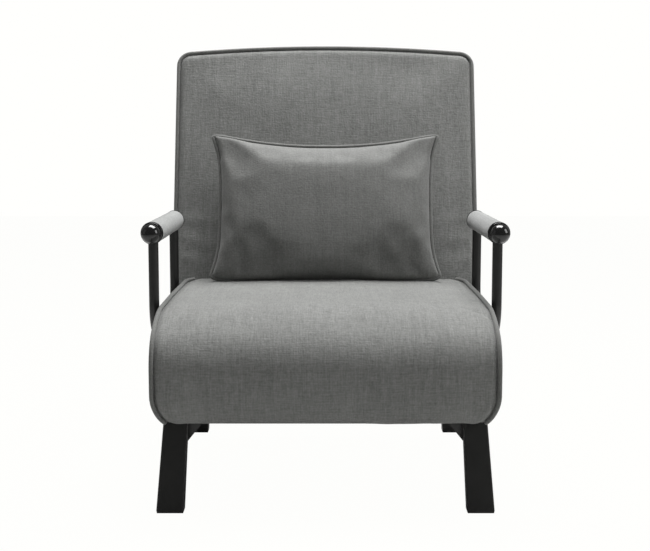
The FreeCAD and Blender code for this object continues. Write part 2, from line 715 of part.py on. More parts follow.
def backrest():
    body = new_body("back_pad")
    stations = [(-s.back_rear, s.pad_inset), (-s.back_rear + s.pad_edge, as_size(2)),
                (-s.back_rear + s.pad_edge * 2.5, as_size(0)), (s.back_front - s.pad_edge * 2.5, as_size(0)),
                (s.back_front - s.pad_edge, as_size(3)), (s.back_front, s.pad_inset + 2)]
    sections = []
    for ahead, inset in stations:
        sections.append(draw(new_sketch(body, "XZ_Plane", ahead), back_outline(inset)))
    loft(body, sections)
    crown = []
    for ahead, inset in ((s.back_front - 0.5, as_size(18)), (s.back_front + s.back_crown * 0.7, as_size(60)),
                         (s.back_front + s.back_crown, as_size(130))):
        sketch = new_sketch(body, "XZ_Plane", ahead)
        half = s.back_half - inset
        draw(sketch, rounded(-half, half, s.crown_low - 18 + inset, s.back_length - inset, s.back_corner))
        crown.append(sketch)
    loft(body, crown)
    recess = new_sketch(body, "XZ_Plane", -s.back_rear)
    recess_half = s.back_frame_half + s.hinge_plate
    recess_floor = s.back_frame_rear - s.back_bar - s.strap - s.fit
    draw(recess, rectangle(-recess_half, recess_half, s.notch_top, s.back_length - s.pad_inset))
    cut(body, recess, s.back_rear - recess_floor)
    place(body, "back_pad", leaning=True)

    cover = new_body("back_cover")
    sketch = new_sketch(cover, "XZ_Plane", -s.back_rear)
    half = recess_half - s.fit
    draw(sketch, rectangle(-half, half, s.notch_top + s.fit, s.back_length - s.pad_inset - s.fit))
    pad(cover, sketch, s.back_cover)
    place(cover, "back_cover", leaning=True)

    frame = channel_frame("back_frame", "XZ_Plane", -s.back_frame_rear, s.back_frame_half, s.back_frame_low,
                          s.back_frame_top, s.back_bar, s.back_bar, s.leaf, False)
    place(frame, "back_frame", leaning=True)
    straps("back_webbing", s.back_frame_half - s.leaf, s.back_frame_low + 24, as_size(62), 8,
           s.back_bar - s.back_frame_rear, "XZ_Plane", leaning=True)


def recline_hinges():
    plate_inner = s.back_frame_half
    base_inner = plate_inner - s.hinge_gap - s.hinge_plate
    frame_near = s.back_frame_rear - s.back_bar
    boss = s.hinge_boss
    pins = []
    for name, side in SIDES:
        body = new_body(f"recline_arm_{name}")
        x0, x1 = across(side, plate_inner, plate_inner + s.hinge_plate)
        sketch = new_sketch(body, "YZ_Plane", x0)
        draw(sketch, [(-boss, 0, boss), (0, -boss, boss), (boss, 0), (s.back_frame_rear, s.notch_top - 7),
                      (s.back_frame_rear, s.plate_top), (frame_near, s.plate_top), (frame_near, s.notch_top - 4)])
        draw_circle(sketch, 0, 0, s.hinge_pin + s.running)
        pad(body, sketch, s.hinge_plate)
        place(body, f"recline_arm_{name}", leaning=True)

        body = new_body(f"recline_plate_{name}")
        x0, x1 = across(side, base_inner, base_inner + s.hinge_plate)
        sketch = new_sketch(body, "YZ_Plane", x0)
        axis_y = s.recline_back
        axis_z = s.recline_height
        draw(sketch, [(axis_y - boss - 5, s.rail_top), (axis_y + boss * 2, s.rail_top), (axis_y + boss, axis_z, boss),
                      (axis_y, axis_z + boss, boss), (axis_y - boss, axis_z)])
        draw_circle(sketch, axis_y, axis_z, s.hinge_pin + s.running)
        pad(body, sketch, s.hinge_plate)
        foot = new_sketch(body, "XY_Plane", s.rail_top)
        f0, f1 = across(side, s.rail_inner + s.plate_foot, base_inner + s.hinge_plate)
        draw(foot, rectangle(f0, f1, axis_y - boss - 5, axis_y + boss * 2))
        pad(body, foot, s.hinge_plate)
        place(body, f"recline_plate_{name}")

        inner_head = base_inner - s.pin_head_height
        outer_head = plate_inner + s.hinge_plate + s.fit
        x0, x1 = across(side, inner_head, outer_head + s.pin_head_height)
        shank = round_bar(f"shank_{name}", (x0, axis_y, axis_z), s.hinge_pin, x1 - x0, "x")
        heads = []
        for start in (inner_head, outer_head):
            h0, h1 = across(side, start, start + s.pin_head_height)
            heads.append(round_bar(f"head_{name}", (h0, axis_y, axis_z), s.pin_head, s.pin_head_height, "x"))
        pins.append(fuse(f"recline_pin_{name}", [shank] + heads))
    place(group("recline_pins", pins), "recline_pins")


# Folding leg behind the backrest

def folding_leg():
    leg_rear = s.prop_rear
    low = s.prop_axis - s.prop_reach
    inner = s.prop_half
    body = new_body("folding_leg")
    path = new_sketch(body, "XZ_Plane", -leg_rear)
    draw(path, [(-inner, s.prop_axis + s.prop_end), (-inner, low + s.prop_bend, s.prop_bend),
                (-inner + s.prop_bend, low), (inner - s.prop_bend, low, s.prop_bend),
                (inner, low + s.prop_bend), (inner, s.prop_axis + s.prop_end)], closed=False)
    section = new_sketch(body, "XY_Plane", s.prop_axis + s.prop_end)
    draw_circle(section, -inner, leg_rear, s.arm_tube)
    draw_circle(section, -inner, leg_rear, s.arm_tube - s.arm_wall)
    pipe = body.newObject("PartDesign::AdditivePipe", "folding_leg_pipe")
    pipe.Profile = section
    pipe.Spine = path
    holes = new_sketch(body, "YZ_Plane")
    draw_circle(holes, leg_rear, s.prop_axis, s.prop_pin + s.running)
    cut(body, holes, inner * 2 + s.arm_tube * 4, midplane=True)
    place(body, "folding_leg", leaning=True)

    sleeves = []
    for name, side in SIDES:
        x0, x1 = across(side, as_size(100), as_size(140))
        tube = round_bar(f"sleeve_{name}", (x0, leg_rear, low), s.arm_tube + s.foot_sleeve, x1 - x0, "x")
        hole = round_bar(f"sleeve_hole_{name}", (x0, leg_rear, low), s.arm_tube, x1 - x0, "x")
        sleeves.append(minus(f"foot_sleeve_{name}", tube, hole))
    place(group("folding_leg_sleeves", sleeves), "folding_leg_sleeves", leaning=True)

    brackets = []
    pins = []
    for name, side in SIDES:
        ear = inner + s.arm_tube + s.hinge_gap
        x0, x1 = across(side, ear, ear + s.bracket)
        body = new_body(f"leg_bracket_{name}")
        sketch = new_sketch(body, "YZ_Plane", x0)
        near = s.back_rear
        draw(sketch, [(near, s.prop_axis - 16), (leg_rear, s.prop_axis - s.arm_tube, s.arm_tube),
                      (leg_rear + s.arm_tube, s.prop_axis, s.arm_tube), (leg_rear, s.prop_axis + s.arm_tube),
                      (near, s.prop_axis + 16)])
        pad(body, sketch, s.bracket)
        x2, x3 = across(side, ear, ear + 26)
        foot = new_sketch(body, "XZ_Plane", -near - s.bracket)
        draw(foot, rectangle(x2, x3, s.prop_axis - 16, s.prop_axis + 16))
        pad(body, foot, s.bracket)
        hole = new_sketch(body, "YZ_Plane", x0)
        draw_circle(hole, leg_rear, s.prop_axis, s.prop_pin + s.running)
        cut(body, hole, s.bracket)
        brackets.append(body)
        x4, x5 = across(side, inner - s.arm_tube, ear + s.bracket)
        pin = round_bar(f"leg_pin_{name}", (x4, leg_rear, s.prop_axis), s.prop_pin, x5 - x4, "x")
        h0, h1 = across(side, ear + s.bracket, ear + s.bracket + s.pin_head_height)
        head = round_bar(f"leg_pin_head_{name}", (h0, leg_rear, s.prop_axis), s.pin_head, s.pin_head_height, "x")
        pins.append(fuse(f"folding_leg_pin_{name}", [pin, head]))
    place(group("folding_leg_brackets", brackets), "folding_leg_brackets", leaning=True)
    place(group("folding_leg_pins", pins), "folding_leg_pins", leaning=True)


# Arms: a bent tube loop, a rail with its grip, and the end caps

def arm(name, side):
    x = s.arm_spread * side
    body = new_body(f"arm_loop_{name}")
    path = new_sketch(body, "YZ_Plane", x)
    low = s.arm_low
    draw(path, [(s.front_post, s.arm_height), (s.front_post, low + s.post_bend, s.post_bend),
                (s.front_post + s.post_bend, low), (s.rear_post - s.post_bend, low, s.post_bend),
                (s.rear_post, low + s.post_bend), (s.rear_post, s.arm_height)], closed=False)
    section = new_sketch(body, "XY_Plane", s.arm_height)
    draw_circle(section, x, s.front_post, s.arm_tube)
    draw_circle(section, x, s.front_post, s.arm_tube - s.arm_wall)
    pipe = body.newObject("PartDesign::AdditivePipe", f"arm_pipe_{name}")
    pipe.Profile = section
    pipe.Spine = path
    holes = new_sketch(body, "YZ_Plane", x - s.arm_tube * 2)
    for depth in (s.bracket_front + s.bolt_inset, s.bracket_back - s.bolt_inset):
        draw_circle(holes, depth, low, s.bolt + s.running * 2)
    cut(body, holes, s.arm_tube * 4)
    rail_length = s.grip_back - s.grip_front
    start = (x, s.grip_front, s.arm_height)
    saddle = round_bar(f"saddle_{name}", start, s.arm_rail + s.running, rail_length + 20, "y")
    place(minus(f"arm_loop_{name}_cut", body, saddle), f"arm_loop_{name}")

    outer = round_bar(f"rail_outer_{name}", start, s.arm_rail, rail_length, "y")
    inner = round_bar(f"rail_inner_{name}", start, s.arm_rail - s.arm_wall, rail_length, "y")
    place(minus(f"arm_rail_{name}", outer, inner), f"arm_rail_{name}")

    posts = []
    for depth in (s.front_post, s.rear_post):
        centre = (x, depth, s.arm_height - s.grip - 5)
        posts.append(round_bar(f"post_room_{name}", centre, s.arm_tube + s.fit, s.grip + 5, "z"))
    for label, big, small in (("grip_foam", s.grip - s.grip_cover - s.running, s.arm_rail + s.running * 2),
                              ("grip_sleeve", s.grip, s.grip - s.grip_cover)):
        outer = round_bar(f"{label}_outer_{name}", start, big, rail_length, "y")
        inner = round_bar(f"{label}_inner_{name}", start, small, rail_length, "y")
        room = fuse(f"{label}_room_{name}", [inner] + posts)
        place(minus(f"{label}_{name}", outer, room), f"{label}_{name}")

    collar_front = s.grip_front - s.collar
    spigot = s.arm_rail - s.arm_wall - s.running * 2
    ring = round_bar(f"collar_outer_{name}", (x, collar_front, s.arm_height), s.grip + s.collar_rim, s.collar, "y")
    hole = round_bar(f"collar_hole_{name}", (x, collar_front, s.arm_height), spigot + s.running, s.collar, "y")
    place(minus(f"grip_collar_{name}", ring, hole), f"grip_collar_{name}")

    ball = doc.addObject("Part::Sphere", f"ball_{name}")
    bind(ball, "Radius", s.ball)
    for letter, size in zip("xyz", (x, s.ball_centre, s.arm_height)):
        bind(ball, f"Placement.Base.{letter}", size)
    behind = block(f"ball_trim_{name}", x - s.ball * 2, x + s.ball * 2, collar_front, collar_front + s.ball * 2,
                   s.arm_height - s.ball * 2, s.arm_height + s.ball * 2)
    trimmed = minus(f"ball_front_{name}", ball, behind)
    stem = round_bar(f"ball_stem_{name}", (x, s.ball_centre, s.arm_height), spigot,
                     s.front_post - s.ball_centre, "y")
    place(fuse(f"ball_cap_{name}", [trimmed, stem]), f"ball_cap_{name}")

    disc = round_bar(f"cap_disc_{name}", (x, s.grip_back, s.arm_height), s.grip + s.collar_rim, s.collar / 2, "y")
    plug = round_bar(f"cap_plug_{name}", (x, s.grip_back - 12, s.arm_height), spigot, as_size(12), "y")
    place(fuse(f"rear_cap_{name}", [disc, plug]), f"rear_cap_{name}")


def arm_bracket(name, side):
    """A bent plate from the side rail up to the arm's lower run, with its two bolts."""
    outer = s.arm_spread - s.arm_tube
    inner = outer - s.bracket
    x0, x1 = across(side, inner, outer)
    body = new_body(f"arm_bracket_{name}")
    upright = new_sketch(body, "YZ_Plane", x0)
    draw(upright, rectangle(s.bracket_front, s.bracket_back, s.bracket_foot, s.arm_low + s.arm_tube))
    for depth in (s.bracket_front + s.bolt_inset, s.bracket_back - s.bolt_inset):
        draw_circle(upright, depth, s.arm_low, s.bolt + s.running * 2)
    pad(body, upright, s.bracket)
    f0, f1 = across(side, s.rail_inner + s.rail_width, outer)
    foot = new_sketch(body, "XY_Plane", s.bracket_foot)
    draw(foot, rectangle(f0, f1, s.bracket_front, s.bracket_back))
    pad(body, foot, s.bracket)
    place(body, f"arm_bracket_{name}")
    bolts = []
    for number, depth in enumerate((s.bracket_front + s.bolt_inset, s.bracket_back - s.bolt_inset)):
        far = s.arm_spread + s.arm_tube
        b0, b1 = across(side, inner, far)
        shank = round_bar(f"bolt_{name}_{number}", (b0, depth, s.arm_low), s.bolt, b1 - b0, "x")
        h0, h1 = across(side, far, far + s.pin_head_height)
        head = round_bar(f"bolt_head_{name}_{number}", (h0, depth, s.arm_low), s.pin_head, s.pin_head_height, "x")
        bolts.append(fuse(f"arm_bolt_{name}_{number}", [shank, head]))
    return bolts


def arms():
    bolts = []
    for name, side in SIDES:
        arm(name, side)
        bolts += arm_bracket(name, side)
    place(group("arm_bolts", bolts), "arm_bolts")


# Loose pillow: pinched corners and no crown at the seams

def pillow():
    body = new_body("pillow")
    half = s.pillow_half
    high = s.pillow_height
    sections = []
    levels = ((-1.0, 118, 78), (-0.8, 66, 34), (-0.42, 26, 9), (0.0, 0, 0), (0.42, 26, 9), (0.8, 66, 34),
              (1.0, 118, 78))
    for share, corner, middle in levels:
        sketch = new_sketch(body, "XZ_Plane", s.pillow_thick * share)
        draw(sketch, [(-half + corner, as_size(corner)), (as_size(0), as_size(middle)), (half - corner, as_size(corner)),
                      (half - 13 - middle, high / 2), (half - corner, high - corner), (as_size(0), high - 10 - middle),
                      (-half + corner, high - corner), (-half + 13 + middle, high / 2)])
        sections.append(sketch)
    loft(body, sections)
    place(body, "pillow", leaning=True)
    side_y = cosine(s.lean) * -s.pillow_ahead + sine(s.lean) * s.pillow_rise
    side_z = sine(s.lean) * s.pillow_ahead + cosine(s.lean) * s.pillow_rise
    bind(body, "Placement.Base.y", s.recline_back - s.front_line + side_y)
    bind(body, "Placement.Base.z", s.recline_height + side_z)


def export_pieces():
    doc.recompute()
    faults = [thing.Label for thing in doc.Objects if {"Invalid", "Error"} & set(thing.State)]
    if faults:
        raise RuntimeError("failed objects: " + ", ".join(faults))
    os.makedirs("parts", exist_ok=True)
    for label, thing in pieces.items():
        shape = thing.Shape
        if shape.isNull() or not shape.isValid() or shape.Volume <= 0:
            raise RuntimeError("bad shape: " + label)
        shape.exportStep(f"parts/{label}.step")
        box = shape.BoundBox
        print(f"{label:24s} solids {len(shape.Solids):2d} volume {shape.Volume:12.1f}"
              f"  Y {box.YMin:8.2f} {box.YMax:8.2f}  Z {box.ZMin:7.2f} {box.ZMax:7.2f}")
    whole = Part.makeCompound([thing.Shape for thing in pieces.values()])
    print(len(pieces), "pieces in", whole.BoundBox)


front_leg_frame()
fixed_base()
lower_layer()
front_hinge()
upper_layer()
backrest()
recline_hinges()
folding_leg()
arms()
pillow()
export_pieces()
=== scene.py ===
# %% [markdown]
# # Dressing a convertible chair bed
# The steel legs, rails, hinges and tube arms of this chair come from the packed model, which
# is the fixed frame. This lesson adds what a sitter sees and touches: the seat with its front
# roll, the backrest, the loose pillow, the sleeved arm grips, and every finish. All lengths are
# in metres.

# %% Load the frame
import json
import math

import bmesh
import bpy
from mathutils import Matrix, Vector, noise


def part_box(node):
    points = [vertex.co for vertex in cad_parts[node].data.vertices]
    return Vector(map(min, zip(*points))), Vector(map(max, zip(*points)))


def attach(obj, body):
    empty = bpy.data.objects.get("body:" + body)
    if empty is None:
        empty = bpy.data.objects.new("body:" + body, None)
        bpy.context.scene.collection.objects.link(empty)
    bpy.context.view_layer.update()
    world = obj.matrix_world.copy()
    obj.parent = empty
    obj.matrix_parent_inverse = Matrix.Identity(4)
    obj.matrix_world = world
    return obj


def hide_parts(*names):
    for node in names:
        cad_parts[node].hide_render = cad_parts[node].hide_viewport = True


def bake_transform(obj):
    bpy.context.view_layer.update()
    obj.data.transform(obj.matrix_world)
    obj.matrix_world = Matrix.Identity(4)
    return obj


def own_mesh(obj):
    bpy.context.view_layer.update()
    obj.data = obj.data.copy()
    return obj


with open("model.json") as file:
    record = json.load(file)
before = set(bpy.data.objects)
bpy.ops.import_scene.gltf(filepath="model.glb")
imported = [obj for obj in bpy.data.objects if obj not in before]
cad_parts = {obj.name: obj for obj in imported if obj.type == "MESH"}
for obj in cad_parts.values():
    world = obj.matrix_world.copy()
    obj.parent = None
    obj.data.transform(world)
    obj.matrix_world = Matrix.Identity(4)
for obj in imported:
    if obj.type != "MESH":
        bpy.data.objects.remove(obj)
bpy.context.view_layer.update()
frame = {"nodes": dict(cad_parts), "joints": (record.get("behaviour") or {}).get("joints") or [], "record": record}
joints = {joint["name"]: joint for joint in frame["joints"]}
front_hinge = Vector(joints["seat_flip_hinge"]["pos_m"])
fold = front_hinge.z
back_axis = Vector(joints["recline_hinge"]["pos_m"])
lean = math.radians(90 - joints["recline_hinge"]["range_deg"][1])
print("front hinge", tuple(front_hinge), "lean of the back", round(math.degrees(lean), 1))

# %% [markdown]
# ## Shader maths
# Cloth and paint are never one flat colour: a shader describes their unevenness as sums and
# products of noise. Math nodes could be wired by hand, which is slow to read. Here a Wire wraps
# one output socket and lets Python's own operators add the Math nodes, in either order, so that
# 1 - mask works. Paint holds the node tree of a material or of the world, and its node method
# makes every other kind of node.


# %% Wires and paints
class Wire:
    """One output socket that understands + - and *."""

    def __init__(self, paint, socket):
        self.paint = paint
        self.socket = socket

    def maths(self, operation, first, second):
        return self.paint.node("ShaderNodeMath", {"operation": operation}, {0: first, 1: second})

    def __add__(self, other):
        return self.maths("ADD", self, other)

    def __sub__(self, other):
        return self.maths("SUBTRACT", self, other)

    def __rsub__(self, other):
        return self.maths("SUBTRACT", other, self)

    def __mul__(self, other):
        return self.maths("MULTIPLY", self, other)

    __radd__ = __add__
    __rmul__ = __mul__


class Paint:
    """The node tree of one material, or of the world."""

    def __init__(self, owner):
        owner.use_nodes = True
        self.owner = owner
        self.tree = owner.node_tree
        self.tree.nodes.clear()

    def node(self, kind, settings=None, inputs=None, output=0):
        """Make any node, with its settings first, then the values or wires of its sockets."""
        made = self.tree.nodes.new(kind)
        for key, value in (settings or {}).items():
            setattr(made, key, value)
        for key, value in (inputs or {}).items():
            if isinstance(value, Wire):
                self.tree.links.new(value.socket, made.inputs[key])
            else:
                made.inputs[key].default_value = value
        return Wire(self, made.outputs[output]) if made.outputs else None

    def grain(self, stretch, detail=2.0):
        """Noise from -0.5 to 0.5, with a given number of grains per metre on each axis."""
        spot = self.node("ShaderNodeTexCoord", output="Object")
        place = self.node("ShaderNodeVectorMath", {"operation": "MULTIPLY"}, {0: spot, 1: stretch})
        inputs = {"Vector": place, "Scale": 1.0, "Detail": detail, "Roughness": 0.5}
        return self.node("ShaderNodeTexNoise", {}, inputs) - 0.5

    def blend_colours(self, amount, low, high):
        """The colour low where the amount is 0, and high where it is 1."""
        inputs = {0: amount, 6: (*low, 1), 7: (*high, 1)}
        return self.node("ShaderNodeMix", {"data_type": "RGBA"}, inputs, output=2)

    def bump(self, height, distance):
        """Relief as deep as the distance, from a height that runs over one unit."""
        return self.node("ShaderNodeBump", {}, {"Height": height, "Distance": distance})

    def finish(self, **inputs):
        """End a material with one surface shader. Base_Color names its socket Base Color."""
        named = {key.replace("_", " "): value for key, value in inputs.items()}
        shader = self.node("ShaderNodeBsdfPrincipled", {}, named)
        self.node("ShaderNodeOutputMaterial", {}, {"Surface": shader})
        return self.owner


print("a wire understands", [name for name in vars(Wire) if name.startswith("__r")])

# %% [markdown]
# ## Cloth that looks like linen
# The cover is a plain weave with uneven threads: some run a little lighter or thicker for a few
# centimetres. A picture of cloth would show its edges and its repeat, so the weave is noise that
# is fine across a thread and long beside it. Warp threads differ along X alone, so they run down
# the front roll and back over the seat.

# %% Linen
ALONG_THREAD, ALONG_SLUB, DRIFT, NAP = 45, 6, 9, 300  # grains per metre
SLUB_SHARE, FLECK_SHARE, DRIFT_SHARE = 0.4, 0.8, 0.3
CLOTH_SPREAD, CLOTH_ROUGH, NAP_ROUGH, SHEEN_ROUGH = 0.34, 0.88, 0.1, 0.5
MID_TONE = 0.5


def shades(colour, spread):
    """The darkest and the lightest tone of a colour."""
    return [tuple(channel * (1 + change) for channel in colour) for change in (-spread, spread)]


def linen(name, colour, streaks=1.1, threads=560, relief=0.00045, sheen=0.2):
    """A plain weave: threads per metre, and how strongly and deeply they stand out."""
    paint = Paint(bpy.data.materials.new(name))
    warp = paint.grain((threads, ALONG_THREAD, ALONG_THREAD), detail=3)
    weft = paint.grain((ALONG_THREAD, threads, threads), detail=3)
    slub = paint.grain((threads / 4, ALONG_SLUB, ALONG_SLUB))
    fleck = paint.grain((threads / 2, threads / 2, threads / 2), detail=1)
    drift = paint.grain((DRIFT, DRIFT, DRIFT))
    tone = warp * streaks + weft * streaks + slub * SLUB_SHARE + fleck * FLECK_SHARE
    tone = tone + drift * DRIFT_SHARE + MID_TONE
    return paint.finish(
        Base_Color=paint.blend_colours(tone, *shades(colour, CLOTH_SPREAD)),
        Roughness=paint.grain((NAP, NAP, NAP)) * NAP_ROUGH + CLOTH_ROUGH,
        Normal=paint.bump(warp + weft + fleck, relief),
        Sheen_Weight=sheen, Sheen_Roughness=SHEEN_ROUGH,
    )


upholstery = linen("grey_linen", (0.215, 0.218, 0.210))
pillow_cloth = linen("pillow_linen", (0.185, 0.187, 0.180), streaks=0.5, relief=0.0003)
# The piping is the cover's own linen painted darker: painted shade of the grooves along the seams.
shaded_piping_cloth = linen("piping_linen_painted_shade", (0.165, 0.167, 0.160), streaks=0.35, relief=0.0002)
grip_cloth = linen("grip_linen", (0.32, 0.325, 0.32), streaks=0.45, threads=700, sheen=0.15)
print("linen has", len(upholstery.node_tree.nodes), "nodes")

# %% [markdown]
# ## Paint, plating and plastic
# The tubes are powder coated: a thick satin skin with a faint orange peel that breaks up its
# highlights. Zinc plating is metal with a cloudy roughness, and moulded plastic is duller. One
# function with a few numbers makes all of them, because they differ only in colour, shine and
# the depth of their peel. The board under the seat is bare plywood, with rings and pores that
# are long in X.

# %% Hard finishes
CLOUDS, PEEL, PAINT_SPREAD, COAT_ROUGH = 40, 900, 0.2, 0.08
RINGS, PORES = (9, 160, 160), (60, 1400, 1400)
PORE_SHARE, BOARD_ROUGH, RING_ROUGH, PORE_DEPTH = 0.5, 0.62, 0.2, 0.0002
DARK_WOOD, PALE_WOOD = (0.36, 0.23, 0.12), (0.62, 0.45, 0.27)


def coated(name, colour, roughness, peel=0.00005, metallic=0.0, patchy=0.08, coat=0.0):
    """A painted, plated or moulded skin: peel is the depth of its orange peel."""
    paint = Paint(bpy.data.materials.new(name))
    cloud = paint.grain((CLOUDS, CLOUDS, CLOUDS), detail=4)
    bubbles = paint.grain((PEEL, PEEL, PEEL), detail=1)
    return paint.finish(
        Base_Color=paint.blend_colours(cloud + MID_TONE, *shades(colour, PAINT_SPREAD)),
        Roughness=cloud * patchy + roughness,
        Normal=paint.bump(bubbles, peel),
        Metallic=metallic, Coat_Weight=coat, Coat_Roughness=COAT_ROUGH,
    )


def wood_board(name):
    """Bare plywood."""
    paint = Paint(bpy.data.materials.new(name))
    rings = paint.grain(RINGS, detail=4)
    pores = paint.grain(PORES)
    tone = rings + pores * PORE_SHARE + MID_TONE
    return paint.finish(
        Base_Color=paint.blend_colours(tone, DARK_WOOD, PALE_WOOD),
        Roughness=rings * RING_ROUGH + BOARD_ROUGH,
        Normal=paint.bump(pores, PORE_DEPTH),
    )


polish = {"peel": 0.000005, "patchy": 0.03, "coat": 0.5}
plating = {"metallic": 1.0, "patchy": 0.25}
finishes = {
    "black_paint": coated("black_powder_coat", (0.020, 0.020, 0.019), 0.36, coat=0.15),
    "zinc_steel": coated("zinc_plate", (0.55, 0.56, 0.57), 0.34, **plating),
    "gloss_black": coated("polished_black", (0.008, 0.008, 0.008), 0.12, **polish),
    "matte_black": coated("moulded_black", (0.018, 0.018, 0.018), 0.42, peel=0.0001),
    "rubber": coated("black_rubber", (0.022, 0.022, 0.022), 0.8, peel=0.0002),
    "plywood": wood_board("raw_plywood"),
    "grey_fabric": upholstery,
    "light_fabric": grip_cloth,
    "backing_fabric": linen("backing_cloth", (0.032, 0.032, 0.034), 0.3, 900, sheen=0.1),
    "webbing": linen("webbing", (0.06, 0.06, 0.062), 0.8, 350, sheen=0.1),
    "foam": linen("foam", (0.55, 0.52, 0.42), 0.2, 400, sheen=0.05),
}
for part in frame["record"]["subparts"]:
    for slot in frame["nodes"][part["node"]].material_slots:
        slot.material = finishes[part["material_slot"]]
print(len(finishes), "finishes on", len(frame["nodes"]), "nodes of the frame")

# %% [markdown]
# ## Growing a soft piece from loops
# A cushion could be a box that is subdivided and pushed about, but then no edge of it is where
# its seam is. Here it is a stack of loops: each loop is the last one extruded and moved, so a
# loop's shape and place say everything. A number on each vertex survives the extrusion, which
# lets one small function tell every vertex where it belongs.

# %% Keep and grow
CLOTH_STEP = 0.005


def keep(name, work, material):
    """Turn a bmesh into a smooth, outward facing object with its finish."""
    bmesh.ops.recalc_face_normals(work, faces=work.faces)
    mesh = bpy.data.meshes.new(name)
    work.to_mesh(mesh)
    work.free()
    for face in mesh.polygons:
        face.use_smooth = True
    piece = bpy.data.objects.new(name, mesh)
    bpy.context.collection.objects.link(piece)
    piece.data.materials.append(material)
    return piece


def grow(work, count, stages, spot, closed):
    """Extrude a row of vertices through the stages; spot(stage, index) places each vertex."""
    number = work.verts.layers.int.new("number")
    row = []
    for index in range(count):
        vertex = work.verts.new(spot(stages[0], index))
        vertex[number] = index
        row.append(vertex)
    pairs = list(zip(row, row[1:]))
    if closed:
        pairs.append((row[-1], row[0]))
    edges = [work.edges.new(pair) for pair in pairs]
    first = list(edges)
    for stage in stages[1:]:
        made = bmesh.ops.extrude_edge_only(work, edges=edges)["geom"]
        fresh = {item for item in made if isinstance(item, bmesh.types.BMVert)}
        for vertex in fresh:
            vertex.co = spot(stage, vertex[number])
        edges = [item for item in made if isinstance(item, bmesh.types.BMEdge)
                 and item.verts[0] in fresh and item.verts[1] in fresh]
    return first, edges


def close_ends(work, *rims):
    """Fill each open rim with one face."""
    for rim in rims:
        bmesh.ops.contextual_create(work, geom=rim)


print("cloth is drawn in steps of", CLOTH_STEP)

# %% [markdown]
# ## Lines to grow along
# A sewn outline is a few corners with their radii, as a pattern cutter draws it. The corners
# are rounded, and the line is walked in even steps, because a mesh with even faces bends and
# shades evenly. Three small curves shape the rest: a smooth step, a bell for a groove or a
# ridge, and a ripple for the unevenness that stuffing leaves.

# %% Outlines and curves
ARC_STEPS = 8


def ease(low, high, value):
    """0 below low, 1 above high, and smooth between."""
    share = min(max((value - low) / (high - low), 0), 1)
    return share * share * (3 - 2 * share)


def bell(distance, width):
    """1 at no distance, and close to 0 from two widths on."""
    return math.exp(-((distance / width) ** 2))


def ripple(spot, size, depth):
    """Smooth, repeatable unevenness of a given size and depth."""
    return noise.noise(Vector(spot) / size) * depth


def even(points, closed):
    """Walk a line in steps of nearly equal length."""
    line = points + points[:1] if closed else points
    lengths = [(b - a).length for a, b in zip(line, line[1:])]
    total = sum(lengths)
    count = max(4, round(total / CLOTH_STEP))
    walked = []
    leg, passed = 0, 0.0
    for number in range(count if closed else count + 1):
        wanted = total * number / count
        while leg < len(lengths) - 1 and passed + lengths[leg] < wanted:
            passed += lengths[leg]
            leg += 1
        share = (wanted - passed) / lengths[leg] if lengths[leg] else 0
        walked.append(line[leg].lerp(line[leg + 1], min(max(share, 0), 1)))
    return walked


def rounded(corners):
    """A closed, evenly walked line through corners (u, v, radius)."""
    points = []
    for index, (u, v, radius) in enumerate(corners):
        here = Vector((u, v))
        if radius == 0:
            points.append(here)
            continue
        before = (Vector(corners[index - 1][:2]) - here).normalized()
        after = (Vector(corners[(index + 1) % len(corners)][:2]) - here).normalized()
        half = math.acos(max(-1, min(1, before.dot(after)))) / 2
        reach = radius / math.tan(half)
        start, end = here + before * reach, here + after * reach
        centre = here + (before + after).normalized() * (radius / math.sin(half))
        for step in range(ARC_STEPS + 1):
            arm = (start - centre).slerp(end - centre, step / ARC_STEPS).normalized()
            points.append(centre + arm * radius)
    return even(points, closed=True)


def headings(points, closed):
    """The direction of travel at each point of a line."""
    last = len(points) - 1
    aims = []
    for index in range(len(points)):
        before = points[index - 1] if closed or index else points[0]
        after = points[(index + 1) % len(points)] if closed or index < last else points[last]
        aims.append((after - before).normalized())
    return aims


def outward(points, closed):
    """The direction to the left of travel at each point of a flat line."""
    return [Vector((-aim.y, aim.x)) for aim in headings(points, closed)]


print("a rounded corner has", ARC_STEPS, "steps before it is walked evenly")

# %% [markdown]
# ## Piping
# Piping is a cord wrapped in the cover's own cloth and caught in the seam. A curve with a bevel
# would do, but it isn't a mesh. So it is a small circle drawn out along the seam, turned at each
# step so that it stays square to its path.

# %% Piping
PIPING, PIPING_SIDES = 0.0038, 10


def piping(name, path, closed):
    """A round cord of cloth along 3D points."""
    aims = headings(path, closed)
    side = aims[0].orthogonal().normalized()
    frames = []
    for aim in aims:
        side = (side - aim * side.dot(aim)).normalized()
        frames.append((side, aim.cross(side)))

    def spot(stage, index):
        turn = 2 * math.pi * index / PIPING_SIDES
        across, up = frames[stage]
        return path[stage] + (across * math.cos(turn) + up * math.sin(turn)) * PIPING

    work = bmesh.new()
    first, last = grow(work, PIPING_SIDES, list(range(len(path))), spot, closed=True)
    if closed:
        bmesh.ops.bridge_loops(work, edges=first + last)
    else:
        close_ends(work, first, last)
    return keep(name, work, shaded_piping_cloth)


print("piping is", 2 * PIPING, "thick")

# %% [markdown]
# ## The shape of the seat
# Seen from the side the seat is one line: under the front edge, up the roll, and back along the
# top. The real chair cuts that shape in two at the front hinge, so that the upper layer can
# flip forward. Both layers and the cover over them are drawn from this one line, so they can't
# drift apart. In it, x is the depth behind the front hinge and y is the height.

# %% Seat outline
UNDER_RADIUS, ROLL_RADIUS, TOP_RADIUS = 0.058, 0.066, 0.241
ROLL_TURN = 62  # degrees from the face of the roll to where the top's wide arc takes over
FRONT_INSET, ROLL_LIFT = 0.0005, 0.003
SEAT_UNDER, UNDER_DEPTH, SEAT_REAR_TOP = 0.145, 0.078, Vector((0.5065, 0.336))


